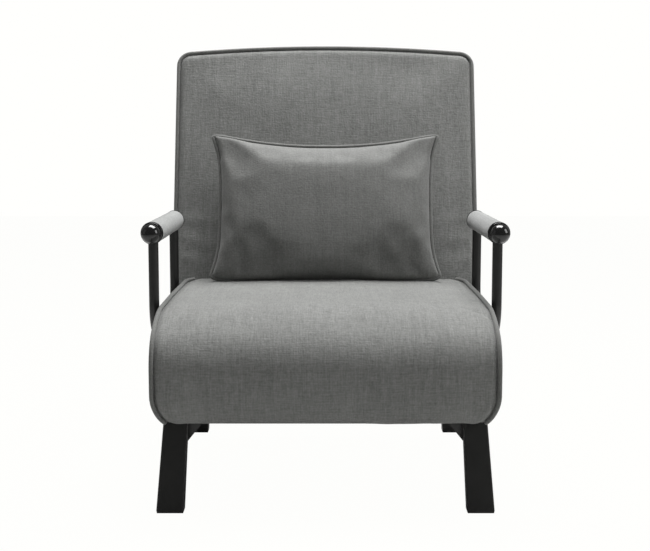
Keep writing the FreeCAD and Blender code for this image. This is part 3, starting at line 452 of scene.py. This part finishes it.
def bow(centre, radius, start, stop):
    """Points of an arc in the side view, from one angle to another in degrees."""
    count = max(3, round(abs(math.radians(stop - start)) * radius / CLOTH_STEP))
    angles = [math.radians(start + (stop - start) * k / count) for k in range(count + 1)]
    return [Vector((centre[0] + radius * math.cos(a), centre[1] + radius * math.sin(a)))
            for a in angles]


turned = math.radians(180 - ROLL_TURN)
towards = Vector((math.cos(turned), math.sin(turned)))
under_centre = (UNDER_RADIUS + FRONT_INSET, SEAT_UNDER + UNDER_RADIUS)
roll_centre = Vector((ROLL_RADIUS + FRONT_INSET, fold + ROLL_LIFT))
top_centre = roll_centre + towards * ROLL_RADIUS - towards * TOP_RADIUS
under_roll = bow(under_centre, UNDER_RADIUS, 270, 180)
front_roll = bow(roll_centre, ROLL_RADIUS, 180, 180 - ROLL_TURN)
front_roll += bow(top_centre, TOP_RADIUS, 180 - ROLL_TURN, 90)[1:]
cover_line = even([Vector((UNDER_DEPTH, SEAT_UNDER))] + under_roll + front_roll + [SEAT_REAR_TOP],
                  closed=False)
cover_normals = outward(cover_line, closed=False)
print("the cover's line has", len(cover_line), "points")

# %% [markdown]
# ## How wide and how full the seat is
# The seams aren't straight: they draw in towards the back corners and under the front edge.
# Between them the stuffing lifts the cover a few millimetres, most on the top. The cover also
# dips into its seams, stands over the hinge leaf, and has one slanting tuck on the right of the
# roll. Towards its rear sides it is pressed in, because there it lies over the leg frame once
# the seat is turned over. A sculpted cover could show that too, but named hollows can be
# changed one at a time.

# %% Seat width and crown
PANEL_HALF, REAR_HALF, TAPER = 0.2864, 0.2820, (0.25, 0.5)
REAR_CORNER, REAR_CORNER_IN = (0.455, 0.515), 0.016
FOOT_TOP, FOOT_REACH, FOOT_IN = 0.205, 0.060, 0.024
CROWN, TOP_CROWN, TOP_STARTS = 0.0015, 0.0045, (0.29, 0.325)
GROOVE, GROOVE_WIDTH = 0.0058, 0.0055
SHOULDER, SHOULDER_AT, SHOULDER_WIDTH = 0.0012, 0.014, 0.008
WAVE, WAVE_SIZE, WRINKLE, WRINKLE_SIZE, CALM = 0.0016, 0.11, 0.0005, 0.035, (0, 0.03)
TUCK, TUCK_WIDTH, TUCK_SLANT, TUCK_SPOT = 0.0022, 0.006, 0.9, (0.262, 0.10)
TUCK_STARTS, TUCK_ENDS = (0.05, 0.08), (0.12, 0.15)
LEAF, LEAF_WIDTH, LEAF_END = 0.0028, 0.026, (0.252, 0.278)
PRESS, PRESS_ACROSS, PRESS_BACK = 0.0022, (0.215, 0.232), (0.24, 0.29)
COVER_RISE, FULL_RISE = 0.0026, 0.165


def panel_half(point):
    """Half the width between the two lines of piping, at a point of the side view."""
    y, z = point
    half = PANEL_HALF - (PANEL_HALF - REAR_HALF) * ease(*TAPER, y)
    if z > fold:
        half -= REAR_CORNER_IN * ease(*REAR_CORNER, y) ** 2
    if z < FOOT_TOP:
        half -= FOOT_IN * ((FOOT_TOP - z) / FOOT_REACH) ** 2
    return half


def seat_crown(point, share):
    """How far the stuffing lifts the cover between its seams."""
    return (1 - share * share) * (TOP_CROWN * ease(*TOP_STARTS, point.y) + CROWN)


def seat_spot(share, point, normal):
    """A point of the cover: share runs from -1 at the left seam to 1 at the right."""
    half, depth, z = panel_half(point), point.x, point.y
    x = share * half
    gap = (1 - abs(share)) * half
    groove = GROOVE * bell(gap, GROOVE_WIDTH) - SHOULDER * bell(gap - SHOULDER_AT, SHOULDER_WIDTH)
    wave = ripple((x, depth, z * 1.3), WAVE_SIZE, WAVE)
    wave += ripple((x * 1.5, depth, z), WRINKLE_SIZE, WRINKLE)
    tuck = 0
    if x > 0:
        aside = x - TUCK_SPOT[0] + (depth - TUCK_SPOT[1]) * TUCK_SLANT
        tuck = TUCK * bell(aside, TUCK_WIDTH) * ease(*TUCK_STARTS, depth)
        tuck *= 1 - ease(*TUCK_ENDS, depth)
    over_hinge = LEAF * bell(z - fold, LEAF_WIDTH) * (1 - ease(*LEAF_END, abs(x)))
    pressed = PRESS * ease(*PRESS_ACROSS, abs(x)) * ease(*PRESS_BACK, depth)
    lift = (COVER_RISE + seat_crown(point, share)) * ease(SEAT_UNDER, FULL_RISE, z)
    lift += over_hinge - pressed + wave * ease(*CALM, gap) - groove - tuck
    flat = point + normal * lift
    return Vector((x, front_hinge.y + flat.x, flat.y))


print("seat width from seam to seam", 2 * PANEL_HALF, "and at the rear", 2 * REAR_HALF)

# %% [markdown]
# ## Front cover
# One length of cloth runs from the back of the seat, over the roll, past the hinge and under the
# front edge. It is a sheet grown column by column, with the columns closer together near the
# seams, where the cloth bends most. It gets a thickness.

# %% Front cover
COLUMNS, CROWDING, CROWDING_ARC = 120, 0.35, math.radians(89.91)
COVER_THICKNESS, FOLD_REACH = 0.0014, 0.005
steps = [2 * k / COLUMNS - 1 for k in range(COLUMNS + 1)]
shares = [math.sin(CROWDING_ARC * step) * CROWDING + step * (1 - CROWDING) for step in steps]
shares[0], shares[-1] = -1.0, 1.0

work = bmesh.new()
grow(work, len(cover_line), shares,
     lambda share, index: seat_spot(share, cover_line[index], cover_normals[index]), closed=False)
bmesh.ops.recalc_face_normals(work, faces=work.faces)
nose = Vector((0, front_hinge.y, fold))
middle = min(work.faces, key=lambda face: (face.calc_center_median() - nose).length)
if middle.normal.y > 0:
    bmesh.ops.reverse_faces(work, faces=work.faces)
bmesh.ops.solidify(work, geom=work.faces, thickness=COVER_THICKNESS)
front_cover = keep("front_cover", work, upholstery)

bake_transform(front_cover)
print("front cover has", len(front_cover.data.polygons), "faces")

# %% [markdown]
# ## Piping of the seat
# A cord closes each side of the cover. It sits a little lower than the cloth, as a cord does
# that is caught in a seam. It ends just above the underside, which leaves room for the rails
# that slide out below the seat.

# %% Seat piping
PIPING_END, PIPING_SUNK, PIPING_OUT = 0.152, 0.0010, 0.0018
for name, side in (("left", -1), ("right", 1)):
    seam = []
    for point, normal in zip(cover_line, cover_normals):
        if point.y < PIPING_END:
            continue
        flat = point + normal * (COVER_RISE - PIPING_SUNK)
        across = side * (panel_half(point) + PIPING_OUT)
        seam.append(Vector((across, front_hinge.y + flat.x, flat.y)))
    cord = piping(f"seat_piping_{name}", seam, closed=False)
    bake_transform(cord)
    print(cord.name, "follows", len(seam), "points")

# %% [markdown]
# ## The two seat cushions
# Each layer is a block of foam in a sewn case. Its outline in the side view is swept from seam
# to seam, a little under the cover, and then drawn on past the piping in shrinking loops, so
# that the side panels belly out as stuffed boxing does. The faces that meet at the hinge stay
# flat, because there the two layers lie on each other.

# %% Seat cushions
BULGE = ((0.02, 0.0030), (0.06, 0.0054), (0.14, 0.0072), (0.30, 0.0084), (0.50, 0.0090),
         (0.70, 0.0091), (0.86, 0.0091), (0.95, 0.0091), (0.985, 0.0091))  # shrink, bulge
SWEEP = 60
UNDER_COVER, CROWN_SHARE = 0.0016, 0.8
FLAT_FACE, INNER_HALF, INNER_DIP, INNER_DIP_WIDTH = 0.004, 0.286, 0.003, 0.008
SIDE_WAVE, SIDE_WAVE_SIZE, SIDE_CALM = 0.0012, 0.07, (0.02, 0.3)


def seat_layer(name, body, corners, nodes):
    """A stuffed seat layer from its outline (depth, height, corner radius) in the side view."""
    line = rounded(corners)
    normals = outward(line, closed=True)
    area = sum(a.x * b.y - b.x * a.y for a, b in zip(line, line[1:] + line[:1]))
    if area > 0:
        normals = [-normal for normal in normals]
    centre = sum(line, Vector((0, 0))) / len(line)
    stages = [(-1, *step) for step in reversed(BULGE)]
    stages += [(k / SWEEP * 2 - 1, 0, 0) for k in range(SWEEP + 1)]
    stages += [(1, *step) for step in BULGE]

    def spot(stage, index):
        share, shrink, bulge = stage
        point, normal = line[index], normals[index]
        if shrink:
            flat = (point - normal * UNDER_COVER).lerp(centre, shrink)
            wave = ripple((share, flat.x, flat.y), SIDE_WAVE_SIZE, SIDE_WAVE)
            x = share * (panel_half(flat) + bulge + wave * ease(*SIDE_CALM, shrink))
            return Vector((x, front_hinge.y + flat.x, flat.y))
        if abs(point.y - fold) < FLAT_FACE:
            lift = -INNER_DIP * bell((1 - abs(share)) * INNER_HALF, INNER_DIP_WIDTH)
        else:
            lift = seat_crown(point, share) * CROWN_SHARE - UNDER_COVER
        flat = point + normal * lift
        return Vector((share * panel_half(point), front_hinge.y + flat.x, flat.y))

    work = bmesh.new()
    close_ends(work, *grow(work, len(line), stages, spot, closed=True))
    piece = keep(name, work, upholstery)
    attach(piece, body)
    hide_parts(*nodes)
    print(name, "is", [round(value, 3) for value in piece.dimensions])


LAYER_GAP, FRONT_ROUND, REAR_ROUND = 0.0003, 0.003, 0.006
UPPER_REAR, UPPER_REAR_ROUND = 0.4788, 0.010
LOWER_REAR, LOWER_REAR_UNDER, LOWER_REAR_ROUND = 0.474, 0.464, 0.018
above, below = fold + LAYER_GAP, fold - LAYER_GAP
upper_corners = [(FRONT_INSET, above, FRONT_ROUND)] + [(*point, 0) for point in front_roll]
upper_corners += [(*SEAT_REAR_TOP, UPPER_REAR_ROUND), (UPPER_REAR, above, REAR_ROUND)]
lower_corners = [(LOWER_REAR_UNDER, SEAT_UNDER, LOWER_REAR_ROUND), (LOWER_REAR, below, REAR_ROUND)]
lower_corners += [(FRONT_INSET, below, FRONT_ROUND)]
lower_corners += [(*point, 0) for point in reversed(under_roll)]
seat_layer("seat_cushion", "seat_flip", upper_corners, ("seat_pad", "sleep_pad"))
seat_layer("lower_cushion", "base", lower_corners, ("lower_pad",))

# %% [markdown]
# ## Backrest
# The backrest leans on the recline axis, so it is drawn in its own plane: across, up its length,
# and ahead towards the sitter. Loops stacked from the rear to the front give the boxing and the
# seam, and then shrink over the face, which makes room for its crown. The bottom corners step in
# to clear the hinge plates, and the top edge is arched.

# %% Backrest outline
BACK_HALF, BACK_TOP, BACK_LOW, CORNER_LIFT = 0.3115, 0.6065, -0.020, 0.0005
ARCH, ARCH_HALF, ARCH_STEPS = 0.0145, 0.27, 40
NOTCH_HALF, NOTCH_TOP = 0.255, 0.050
SMALL_ROUND, NOTCH_ROUND, CORNER_ROUND = 0.008, 0.006, 0.027


def on_back(across, length, ahead):
    """A point given in the backrest's own plane."""
    y = length * math.sin(lean) - ahead * math.cos(lean)
    z = length * math.cos(lean) + ahead * math.sin(lean)
    return back_axis + Vector((across, y, z))


arch = [ARCH_HALF - 2 * ARCH_HALF * k / ARCH_STEPS for k in range(ARCH_STEPS + 1)]
arch = [(x, BACK_TOP + ARCH * (1 - (x / BACK_HALF) ** 2), 0) for x in arch]
right = [(NOTCH_HALF, BACK_LOW, SMALL_ROUND), (NOTCH_HALF, NOTCH_TOP, NOTCH_ROUND),
         (BACK_HALF, NOTCH_TOP, SMALL_ROUND), (BACK_HALF, BACK_TOP + CORNER_LIFT, CORNER_ROUND)]
left = [(-x, length, radius) for x, length, radius in reversed(right)]
back_line = rounded(left[-1:] + right + arch + left[:-1])
back_normals = [-normal for normal in outward(back_line, closed=True)]
print("backrest outline", len(back_line), "points, top centre", tuple(on_back(0, BACK_TOP, 0)))

# %% [markdown]
# ## The backrest's cushion
# Each loop says how far ahead it lies, how much it shrinks towards the middle and how far it
# stands out of the outline. The face that carries the crown has fifteen loops of its own. Three
# short creases run in from each side, low down beside the pillow, where the cover is pulled.

# %% Backrest cushion
SEAM_AHEAD, SEAM_BEHIND, FACE_AHEAD, FACE_IN = 0.0240, -0.0490, 0.0300, -0.0130
BACK_LOOPS = [(-0.0515, 0.30, 0), (-0.0515, 0.08, 0), (-0.0515, 0, -0.006),
              (SEAM_BEHIND, 0, -0.0015), (-0.044, 0, 0.0006), (-0.030, 0, 0.0018),
              (-0.012, 0, 0.0022), (0.006, 0, 0.0016), (0.018, 0, 0.0004), (0.0225, 0, -0.0015),
              (SEAM_AHEAD, 0, -0.0048), (0.0262, 0, -0.0062), (0.0284, 0, -0.0090),
              (0.0298, 0, FACE_IN)]  # ahead, shrink, out
BACK_LOOPS += [(FACE_AHEAD, shrink, FACE_IN) for shrink in
               (0.02, 0.05, 0.09, 0.14, 0.20, 0.27, 0.35, 0.44, 0.54, 0.64, 0.74, 0.83, 0.90,
                0.95, 0.98)]
BACK_CROWN, BACK_CROWN_REACH = 0.0065, 0.35
SWELLS = ((1.0, 0.3, 0.16, 0.0030, 0.12), (1.4, 1.7, 0.05, 0.0007, 0.1))
CREASES = ((0.155, 0.45, 0.0022), (0.200, 0.35, 0.0016), (0.245, 0.2, 0.0010))
CREASE_WIDTH, CREASE_AT, CREASE_ACROSS = 0.010, 0.27, (0.20, 0.27)
back_centre = Vector((0, 0.30))


def back_crown(x, length, shrink):
    """How far the stuffing stands out of the face, with its swells and creases."""
    crown = BACK_CROWN * ease(0, BACK_CROWN_REACH, shrink)
    for stretch, layer, size, depth, calm in SWELLS:
        crown += ripple((x * stretch, length, layer), size, depth) * ease(0, calm, shrink)
    for side in (-1, 1):
        for low, slope, depth in CREASES:
            ridge = length - low - slope * (abs(x) - CREASE_AT)
            crown += depth * bell(ridge, CREASE_WIDTH) * ease(*CREASE_ACROSS, x * side)
    return crown


def back_spot(stage, index):
    ahead, shrink, out = stage
    flat = back_line[index] + back_normals[index] * out
    flat = flat.lerp(back_centre, shrink)
    if ahead == FACE_AHEAD:
        ahead += back_crown(flat.x, flat.y, shrink)
    return on_back(flat.x, flat.y, ahead)


work = bmesh.new()
close_ends(work, *grow(work, len(back_line), BACK_LOOPS, back_spot, closed=True))
back_cushion = keep("back_cushion", work, upholstery)
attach(back_cushion, "backrest")
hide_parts("back_pad")
print("back cushion is", [round(value, 3) for value in back_cushion.dimensions])

# %% [markdown]
# ## Piping of the backrest
# One cord runs round the face and one round the rear, each on its seam. They are closed, so the
# last ring is bridged to the first.

# %% Backrest piping
FRONT_CORD_OUT, REAR_CORD_OUT = 0.0004, -0.0010
for label, ahead, out in (("front", SEAM_AHEAD, FRONT_CORD_OUT),
                          ("rear", SEAM_BEHIND, REAR_CORD_OUT)):
    seam = [on_back(*(point + normal * out), ahead)
            for point, normal in zip(back_line, back_normals)]
    cord = piping(f"back_piping_{label}", seam, closed=True)
    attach(cord, "backrest")
    print(cord.name, "follows", len(seam), "points")

# %% [markdown]
# ## Loose pillow
# Two panels are sewn round their edge and stuffed, so the corners stay thin and stand out while
# the sides draw in. A stretched ball has no corners, and a subdivided box has fat ones, so the
# pillow is two grids that share their rim. Each grid is swelled by a smooth formula, which says
# how high the stuffing stands at every place of the panel.

# %% Pillow panels
PILLOW_HALF, PILLOW_LOW, PILLOW_TOP, PILLOW_AHEAD = 0.2130, 0.1075, 0.3845, 0.090
CORNER_OUT, CORNER_UP, CORNER_TUCK, LOW_CORNER_UP = 0.0240, 0.0290, 0.0075, 0.006
UNDER_DROP, UNDER_CURVE = 0.001, 0.003
PUFF_FRONT, PUFF_REAR, FULLNESS, LOW_WEIGHT = 0.047, 0.042, 0.36, 0.10
GRID_ACROSS, GRID_UP, SEW = 84, 56, 0.0002


def pillow_half(v):
    """Half the width at a height v, from -1 at the lower edge to 1 at the upper."""
    return PILLOW_HALF + CORNER_OUT * min(abs(v), 1) ** 4


def pillow_top(u):
    """The height of the upper edge at a place u, from -1 at the left to 1 at the right."""
    return PILLOW_TOP + CORNER_UP * min(abs(u), 1) ** 2.2


def pillow_spot(u, v, side):
    """A point of the pillow: u and v run across and up, side is 1 on the front."""
    corner = abs(u * v) ** 16
    half = pillow_half(v) - CORNER_TUCK * corner
    top = pillow_top(u) - CORNER_TUCK * corner
    low = PILLOW_LOW - UNDER_DROP + UNDER_CURVE * abs(u) ** 6 + LOW_CORNER_UP * corner
    puff = PUFF_FRONT if side > 0 else PUFF_REAR
    swell = (max(0, 1 - u * u) * max(0, 1 - v * v)) ** FULLNESS
    lower = 1 + LOW_WEIGHT * (1 - v) / 2
    ahead = PILLOW_AHEAD + side * puff * swell * lower
    return on_back(u * half, low + (top - low) * (v + 1) / 2, ahead)


work = bmesh.new()
for side in (1, -1):
    panel = bmesh.ops.create_grid(work, x_segments=GRID_ACROSS, y_segments=GRID_UP, size=1)
    for vertex in panel["verts"]:
        vertex.co = pillow_spot(vertex.co.x, vertex.co.y, side)
bmesh.ops.remove_doubles(work, verts=work.verts, dist=SEW)
pillow = keep("pillow_cushion", work, pillow_cloth)
print("pillow panels are", [round(value, 3) for value in pillow.dimensions])

# %% [markdown] ## Swelling the pillow A formula alone looks like a moulded shell. A short
# cloth simulation with air inside and the seam pinned moves the panels a few millimetres, as
# real cloth settles over its stuffing. No point may move further than a cap, and a few rounds
# of smoothing take out the puckers that would catch the light.

# %% Pillow simulation
SEAM_MARGIN, SEAM_PINNED, SEAM_LEFT_ALONE = 0.002, 0.0012, 0.006
PILLOW_CAP, FRAMES, SMOOTHINGS = 0.009, 20, 4
CLOTH = {
    "quality": 5, "mass": 0.25,
    "tension_stiffness": 12, "compression_stiffness": 12, "shear_stiffness": 6,
    "bending_stiffness": 0.5, "shrink_min": -0.012,
    "use_pressure": True, "uniform_pressure_force": 0.5, "vertex_group_mass": "seam",
}


def settle(piece):
    """Apply a piece's modifiers, so that its mesh is final."""
    seen = piece.evaluated_get(bpy.context.evaluated_depsgraph_get())
    mesh = bpy.data.meshes.new_from_object(seen)
    piece.modifiers.clear()
    piece.data = mesh


def seam_distance(place):
    """How far a point of the pillow is from its seam, seen in the seam's plane."""
    offset = place - back_axis
    length = offset.y * math.sin(lean) + offset.z * math.cos(lean)
    v = (length - PILLOW_LOW) / (PILLOW_TOP - PILLOW_LOW) * 2 - 1
    half = pillow_half(v)
    return min(half - abs(offset.x), length - PILLOW_LOW + SEAM_MARGIN,
               pillow_top(offset.x / half) - length)


rest_places = [vertex.co.copy() for vertex in pillow.data.vertices]
pinned = [index for index, place in enumerate(rest_places) if seam_distance(place) < SEAM_PINNED]
pillow.vertex_groups.new(name="seam").add(pinned, 1.0, "REPLACE")
print(len(pinned), "points of the seam are pinned")
cloth = pillow.modifiers.new("swell", "CLOTH")
for key, value in CLOTH.items():
    setattr(cloth.settings, key, value)
cloth.settings.effector_weights.gravity = 0
cloth.point_cache.frame_start = 1
cloth.point_cache.frame_end = FRAMES
for step in range(1, FRAMES + 1):
    bpy.context.scene.frame_set(step)
settle(pillow)
bpy.context.scene.frame_set(1)
for vertex, rest in zip(pillow.data.vertices, rest_places):
    moved = vertex.co - rest
    if moved.length > PILLOW_CAP:
        vertex.co = rest + moved.normalized() * PILLOW_CAP
work = bmesh.new()
work.from_mesh(pillow.data)
loose = [vertex for vertex in work.verts if seam_distance(vertex.co) > SEAM_LEFT_ALONE]
for _ in range(SMOOTHINGS):
    bmesh.ops.smooth_vert(work, verts=loose, factor=0.5,
                          use_axis_x=True, use_axis_y=True, use_axis_z=True)
work.to_mesh(pillow.data)
work.free()

# %% [markdown]
# ## Fitting the pillow between seat and back
# The pillow leans on the backrest and sits on the seat, so its rear is flattened against the
# one and its underside on the other, and its front gives way softly past its drawn depth. One
# round of subdivision then makes its outline smooth.

# %% Pillow fit
NEAR_BACK, FULL_FRONT, GIVE = 0.040, 0.132, 0.016
PILLOW_REST = 0.3405
ahead_axis = Vector((0, -math.cos(lean), math.sin(lean)))
for vertex in pillow.data.vertices:
    ahead = (vertex.co - back_axis).dot(ahead_axis)
    held = max(ahead, NEAR_BACK)
    if held > FULL_FRONT:
        held = FULL_FRONT + GIVE * math.tanh((held - FULL_FRONT) / GIVE)
    vertex.co += ahead_axis * (held - ahead)
    vertex.co.z = max(vertex.co.z, PILLOW_REST)
soften = pillow.modifiers.new("soften", "SUBSURF")
soften.levels = soften.render_levels = 1
settle(pillow)
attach(pillow, "pillow")
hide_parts("pillow")
print("pillow is", [round(value, 3) for value in pillow.dimensions])

# %% [markdown]
# ## Piping of the pillow
# The cord follows the rim that the two panels share. A loose pillow can't follow the seat when
# it turns over, so the pillow and its cord are pressed flat there, as a pillow left on the seat
# would be.

# %% Pillow piping
RIM_STEPS, RIM_REST, PRESSED = 60, 0.3395, 0.3
turns = ((-1, -1), (1, -1), (1, 1), (-1, 1))
rim = []
for start, end in zip(turns, turns[1:] + turns[:1]):
    for k in range(RIM_STEPS):
        u, v = Vector(start).lerp(Vector(end), k / RIM_STEPS)
        rim.append(pillow_spot(u, v, 1))
pillow_piping = piping("pillow_piping", rim, closed=True)
for vertex in pillow_piping.data.vertices:
    vertex.co.z = max(vertex.co.z, RIM_REST)
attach(pillow_piping, "pillow")
for piece in (pillow, pillow_piping):
    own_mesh(piece)
print(pillow_piping.name, "follows", len(rim), "points")

# %% [markdown]
# ## Arm grips
# A padded sleeve of light cloth covers each arm rail between two end rings. A plain cylinder
# would have hard ends and no seam, so the sleeve is a circle extruded along the rail: it draws
# in at its ends, ripples a little, and has a fine seam underneath. Its size is the frame's.

# %% Grips
GRIP_ENDS = ((0.0, 0.84), (0.0006, 0.93), (0.0022, 0.985), (0.006, 1.0))  # along, share
GRIP_STEPS, GRIP_SIDES = 30, 48
GRIP_SLACK, GRIP_WAVE, GRIP_WAVE_SIZE, WAVE_ROUND = 0.0002, 0.0005, 0.03, 0.02
GRIP_SEAM, GRIP_SEAM_WIDTH, GRIP_SEAM_AT = 0.0006, 0.06, 1.5 * math.pi


def grip_sleeve(name, side):
    """One sleeve, as long and as thick as the node that it stands for."""
    low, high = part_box(f"grip_sleeve_{name}")
    centre = (low + high) / 2
    radius = (high.x - low.x) / 2
    length = high.y - low.y
    drawn_in = GRIP_ENDS[-1][0]
    stages = list(GRIP_ENDS)
    stages += [(drawn_in + (length - 2 * drawn_in) * k / GRIP_STEPS, 1.0)
               for k in range(1, GRIP_STEPS)]
    stages += [(length - along, share) for along, share in reversed(GRIP_ENDS)]

    def spot(stage, index):
        along, share = stage
        turn = 2 * math.pi * index / GRIP_SIDES
        across, up = math.cos(turn), math.sin(turn)
        reach = radius * share - GRIP_SLACK
        if share == 1:
            around = (along * 2, across * WAVE_ROUND, up * WAVE_ROUND + side)
            reach += ripple(around, GRIP_WAVE_SIZE, GRIP_WAVE)
            reach += GRIP_SEAM * bell(turn - GRIP_SEAM_AT, GRIP_SEAM_WIDTH)
        return Vector((centre.x + reach * across, low.y + along, centre.z + reach * up))

    work = bmesh.new()
    close_ends(work, *grow(work, GRIP_SIDES, stages, spot, closed=True))
    return keep(f"arm_grip_{name}", work, grip_cloth)


for name, side in (("left", -1), ("right", 1)):
    grip = grip_sleeve(name, side)
    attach(grip, "base")
    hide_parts(f"grip_sleeve_{name}")
    print(grip.name, "is", [round(value, 3) for value in grip.dimensions])

# %% [markdown]
# ## Ball ends
# A polished ball closes the front of each rail. It is a turned part, so it is made as a lathe
# makes it: half a profile, with a small flange where it meets the ring, spun round the rail.

# %% Ball ends
BALL_RADIUS, BALL_NECK, BALL_STEPS, BALL_SIDES = 0.0172, math.radians(42), 24, 48
WAIST, FLANGE_RADIUS, FLANGE, FLANGE_BEVEL, FLANGE_LIP = 0.80, 0.0188, 0.0022, 0.0006, 0.0004
for name in ("left", "right"):
    low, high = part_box(f"ball_cap_{name}")
    ring_low, ring_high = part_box(f"grip_collar_{name}")
    axis = Vector(((ring_low.x + ring_high.x) / 2, 0, (ring_low.z + ring_high.z) / 2))
    seat = ring_low.y
    bends = [(math.pi - BALL_NECK) * k / BALL_STEPS for k in range(BALL_STEPS + 1)]
    profile = [(low.y + BALL_RADIUS * (1 - math.cos(turn)), BALL_RADIUS * math.sin(turn))
               for turn in bends]
    profile += [(seat - FLANGE, BALL_RADIUS * WAIST),
                (seat - FLANGE, FLANGE_RADIUS - FLANGE_BEVEL),
                (seat - FLANGE + FLANGE_BEVEL, FLANGE_RADIUS),
                (seat - FLANGE_LIP, FLANGE_RADIUS),
                (seat, FLANGE_RADIUS - FLANGE_LIP), (seat, 0)]
    work = bmesh.new()
    chain = [work.verts.new((axis.x + reach, along, axis.z)) for along, reach in profile]
    edges = [work.edges.new(pair) for pair in zip(chain, chain[1:])]
    bmesh.ops.spin(work, geom=chain + edges, cent=axis, axis=(0, 1, 0), angle=2 * math.pi,
                   steps=BALL_SIDES, use_merge=True)
    bmesh.ops.remove_doubles(work, verts=work.verts, dist=0.00001)
    ball = keep(f"ball_end_{name}", work, finishes["gloss_black"])
    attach(ball, "base")
    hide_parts(f"ball_cap_{name}")
    print(ball.name, "is", [round(value, 3) for value in ball.dimensions])

# %% [markdown]
# ## Studio
# The photograph is a catalogue shot: white all round, with no horizon. More light would make the
# floor white, but the cloth too. So the floor and the sky are white only to the camera, and to
# every other ray they are a matt floor and a dim sky. The floor stays slightly matt to the
# camera as well, so that it can take a shadow.

# %% Floor and sky
WHITE, MATT = (1.0, 1.0, 0.985, 1.0), (0.62, 0.62, 0.61, 1)
FLOOR_WHITE, FLOOR_SIZE, SKY_LEVEL = 0.985, 14, 0.14


def seen_mask(paint):
    """1 for what the camera sees directly or through glass, 0 for every other ray."""
    rays = ("Is Camera Ray", "Is Transmission Ray")
    direct, through = [paint.node("ShaderNodeLightPath", output=ray) for ray in rays]
    return direct + through


ground = Paint(bpy.data.materials.new("studio_floor"))
matt = ground.node("ShaderNodeBsdfDiffuse", {}, {"Color": MATT})
glow = ground.node("ShaderNodeEmission", {}, {"Color": WHITE, "Strength": 1.0})
amount = seen_mask(ground) * FLOOR_WHITE
surface = ground.node("ShaderNodeMixShader", {}, {0: amount, 1: matt, 2: glow})
ground.node("ShaderNodeOutputMaterial", {}, {"Surface": surface})

work = bmesh.new()
bmesh.ops.create_grid(work, x_segments=2, y_segments=2, size=FLOOR_SIZE / 2)
floor = keep("studio_floor", work, ground.owner)

world = bpy.data.worlds.new("studio_sky")
bpy.context.scene.world = world
sky = Paint(world)
mask = seen_mask(sky)
level = (1 - mask) * SKY_LEVEL + mask
shine = sky.node("ShaderNodeBackground", {}, {"Color": WHITE, "Strength": level})
sky.node("ShaderNodeOutputWorld", {}, {"Surface": shine})
print("floor of", FLOOR_SIZE, "m, sky at", SKY_LEVEL)

# %% [markdown]
# ## Lamps
# A broad light overhead leaves the seat top bright and the front in half shade, and a weaker
# light from the right brightens that side of the backrest. Large area lamps give the soft
# edges of a studio's softboxes. A faint one on the left keeps the shaded side readable.

# %% Lamps
LAMPS = (
    ("overhead", (0.15, 0.42, 2.75), (2.0, 1.4), 104),
    ("right_side", (2.5, -0.7, 1.6), (1.2, 1.6), 21),
    ("left_side", (-2.4, -0.6, 1.2), (1.2, 1.6), 1.0),
)  # name, place, size, watts
target = Vector((0, 0, 0.35))
for name, place, size, watts in LAMPS:
    lamp = bpy.data.lights.new(name, "AREA")
    lamp.shape = "RECTANGLE"
    lamp.size, lamp.size_y = size
    lamp.energy = watts
    holder = bpy.data.objects.new(name, lamp)
    holder.location = place
    holder.rotation_euler = (target - Vector(place)).to_track_quat("-Z", "Y").to_euler()
    bpy.context.collection.objects.link(holder)
    print(name, "gives", watts, "W")

# %% [markdown]
# ## Camera
# Fitting a pinhole to points measured on the photograph gave the camera: just under two metres
# in front of the roll, 0.64 m up, looking a few degrees down, through a 67 mm lens. The view
# transform is Standard, so that a colour renders about as it is written.

# %% Camera
CAMERA_ACROSS, CAMERA_AHEAD, CAMERA_HEIGHT, PITCH = -0.0008, 1.9716, 0.636, 6.7
IMAGE_WIDTH, FOCAL_PIXELS, SENSOR = 650, 1214.5, 36
camera_data = bpy.data.cameras.new("camera")
camera_data.sensor_width = SENSOR
camera_data.sensor_fit = "HORIZONTAL"
camera_data.lens = FOCAL_PIXELS / IMAGE_WIDTH * SENSOR
camera = bpy.data.objects.new("camera", camera_data)
camera.location = (CAMERA_ACROSS, front_hinge.y - CAMERA_AHEAD, CAMERA_HEIGHT)
camera.rotation_euler = (math.radians(90 - PITCH), 0, 0)
bpy.context.collection.objects.link(camera)
bpy.context.scene.camera = camera
bpy.context.scene.view_settings.view_transform = "Standard"
print("lens", round(camera_data.lens, 2), "mm")

# %% [markdown]
# ## Sizes and finish
# Fabric may stand a little proud of the packed model, and no more.
